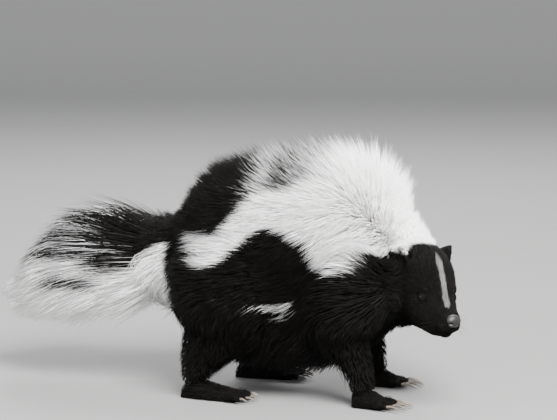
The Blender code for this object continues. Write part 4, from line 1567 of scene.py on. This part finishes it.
def whiskers():
    """Four rows of three on each side: each bows back and droops."""
    t = np.linspace(0, 1, 8)
    turn = np.array(HEAD)[:3, :3]
    back = turn @ np.array((-0.45, 0.0, -0.22))
    lines = []
    for sign in (1, -1):
        for row in range(4):
            for k in range(3):
                pad = Vector((-0.0095 - 0.0040 * k - 0.0008 * row, 0.0125 * sign, -0.0015 - 0.0032 * row))
                root = np.array(skin_tree.find_nearest(HEAD @ pad)[0])
                long = 0.014 + 0.0022 * k + 0.002 * chance.random()
                out = turn @ unit(np.array((0.30 - 0.25 * k, 0.9 * sign, 0.05 - 0.17 * row)))
                lines.append(root + long * (out * t[:, None] + back * t[:, None] ** 2))
    lines = np.array(lines)
    up = np.broadcast_to(np.array((0.0, 0.0, 1.0)), lines.shape)
    widths = np.full(len(lines), 0.00013)
    look = {"pale": np.zeros(len(lines)), "shade": np.full(len(lines), 0.6)}
    mesh = blades("whiskers", lines, up, widths, unwrapped(lines[:, 0], "head"), look)
    add_piece("whiskers", mesh, fur, "black_coat")


whiskers()


# ---------------------------------------------------------------------------- the coat, legs
# Short, thick hair that runs down the legs and thins to a close fringe over the toes.

coat_piece("coat_legs", shanks, 10500, "leg", 0.00036, "black_coat", clump=(9, 0.35))
coat_piece("coat_feet", feet, 5500, "paw", 0.00022, "black_coat", 2.4, (8, 0.30))


# ---------------------------------------------------------------------------- the coat, tail
# A loose plume of the longest hair, on a thin dock. It sweeps back and droops, black above and white beneath.

tail_tree = outline_tree(["tail_base", "tail_middle", "tail_end"])
TAIL_LINE = [
    (-0.0374, 0.0000, 0.1400),
    (-0.0564, 0.0008, 0.1290),
    (-0.0854, 0.0032, 0.1210),
    (-0.1134, 0.0057, 0.1195),
    (-0.1414, 0.0081, 0.1195),
    (-0.1654, 0.0102, 0.1140),
    (-0.1894, 0.0123, 0.1060),
    (-0.2104, 0.0142, 0.0950),
    (-0.2254, 0.0155, 0.0880),
    (-0.2330, 0.0160, 0.0850),
]
DOCK_END = 0.74  # how far along that line the dock reaches
DRAWN_IN = -0.2460  # tips that reach farther back than this x are drawn in by half


def tail_room(line, turns):
    """How far the plume reaches from its middle line, at each place along it and each turn round it."""
    run = unit(np.gradient(line, axis=0))
    side = unit(np.cross(np.array((0, 0, 1.0)), run))
    top = np.cross(run, side)
    table = np.zeros((len(line), turns))
    for i, centre in enumerate(line):
        for j in range(turns):
            turn = 2 * math.pi * j / turns
            ray = top[i] * math.cos(turn) + side[i] * math.sin(turn)
            hit = tail_tree.ray_cast(centre, ray, 0.12)
            table[i, j] = hit[3] if hit[0] is not None else 0.0
    return table, top, side


def sampled(table, along, turn=None):
    """Reads a table at fractional places along it, and turns round it."""
    at = np.clip(along, 0, 1) * (len(table) - 1)
    low = np.minimum(at.astype(int), len(table) - 2)
    part = at - low
    if turn is None:
        return table[low] * (1 - part)[..., None] + table[low + 1] * part[..., None]
    column = (turn / (2 * np.pi) % 1) * table.shape[1]
    one = column.astype(int) % table.shape[1]
    across = column - column.astype(int)
    other = (one + 1) % table.shape[1]
    first = table[low, one] * (1 - across) + table[low, other] * across
    second = table[low + 1, one] * (1 - across) + table[low + 1, other] * across
    return first * (1 - part) + second * part


tail_line = between(np.array(TAIL_LINE), 4)
tail_places = np.linspace(0, 1, len(tail_line))
dock_places = np.linspace(0, DOCK_END, len(TAIL_SPINE))
dock_radius = np.interp(tail_places, dock_places, [row[3] for row in TAIL_SPINE])
tail_table, tail_top, tail_side = tail_room(tail_line, 40)
for column in tail_table.T:
    known = column > 0.004
    column[~known] = np.interp(np.where(~known)[0], np.where(known)[0], column[known])


def plume(name, low_turn, high_turn, count, slot):
    """Locks that leave the dock between two turns round it, run nearly straight, and end raggedly."""
    count = int(count * THINNER)
    steps = 4
    along = chance.random(count) ** 0.85 * 0.80
    turn = chance.uniform(low_turn, high_turn, count)
    t = np.linspace(0, 1, steps)
    tuft = wave(np.stack([along * 2, np.cos(turn), np.sin(turn)], 1), 0.5, 12)
    travel = np.clip(chance.uniform(0.26, 0.48, count) * (1 + 0.22 * tuft), 0.12, 0.62)
    place = along[:, None] + travel[:, None] * t[None] ** 1.1
    drift = 0.10 * wave(np.stack([along * 3, np.cos(turn), np.sin(turn)], 1), 0.7, 13)
    drift += 0.06 * chance.normal(size=count)
    angle = turn[:, None] + drift[:, None] * t[None]
    skin_r = np.interp(along, tail_places, dock_radius) * 0.9
    full = np.clip(1.14 - 0.50 * chance.random(count) ** 1.7 + 0.07 * tuft, 0.22, 1.20)
    under = chance.random(count) < 0.22
    full = np.where(under, full * 0.72, full)
    full = np.where(chance.random(count) < 0.14, chance.uniform(0.03, 0.50, count), full)
    beyond = np.clip(place - 1, 0, 0.10)
    room = sampled(tail_table, np.minimum(place, 0.90), angle)
    room = room * (1 - 0.30 * smooth_step(0.90, 1.10, place))
    out = 1 - (1 - t) ** 1.5
    radius = skin_r[:, None] * (1 - out)[None] + (room * full[:, None]) * out[None]
    centre = sampled(tail_line, place)
    top, side = sampled(tail_top, place), sampled(tail_side, place)
    lines = centre + radius[..., None] * (top * np.cos(angle)[..., None] + side * np.sin(angle)[..., None])
    lines += unit(tail_line[-1] - tail_line[-5]) * beyond[..., None] * 0.11
    lines[:, 1:-1] = (lines[:, :-2] + 2 * lines[:, 1:-1] + lines[:, 2:]) / 4
    lines = draw_together(lines, lines[:, 0].copy(), 18, 0.50, 1.5)
    lines += chance.normal(size=(count, 1, 3)) * 0.0024 * (t**2)[None, :, None]
    lines[..., 0] += 0.5 * np.maximum(DRAWN_IN - lines[..., 0], 0)
    seen_at = lines[:, -2]
    ones = {key: np.full(count, float(key == "tail")) for key in share}
    amount = whiteness(seen_at, ones, in_head_axes(seen_at))
    is_white = smooth_step(0.38, 0.62, amount + 0.16 * chance.normal(size=count) + 0.12 * tuft)
    shade = np.clip(0.5 + 0.3 * chance.normal(size=count), 0, 1)
    up = unit(lines - centre)
    spread = np.stack([(turn - low_turn) / (high_turn - low_turn), along / 0.8], 1) * 0.96 + 0.02
    widths = 0.00042 * chance.uniform(0.7, 1.3, count) * np.where(under, 1.9, 1.0)
    mesh = blades(name, lines, up, widths, spread, {"pale": is_white, "shade": shade})
    add_piece(name, mesh, fur, slot)


plume("coat_tail_top", -math.pi / 2, math.pi / 2, 10800, "black_coat")
plume("coat_tail_under", math.pi / 2, 3 * math.pi / 2, 10800, "white_coat")
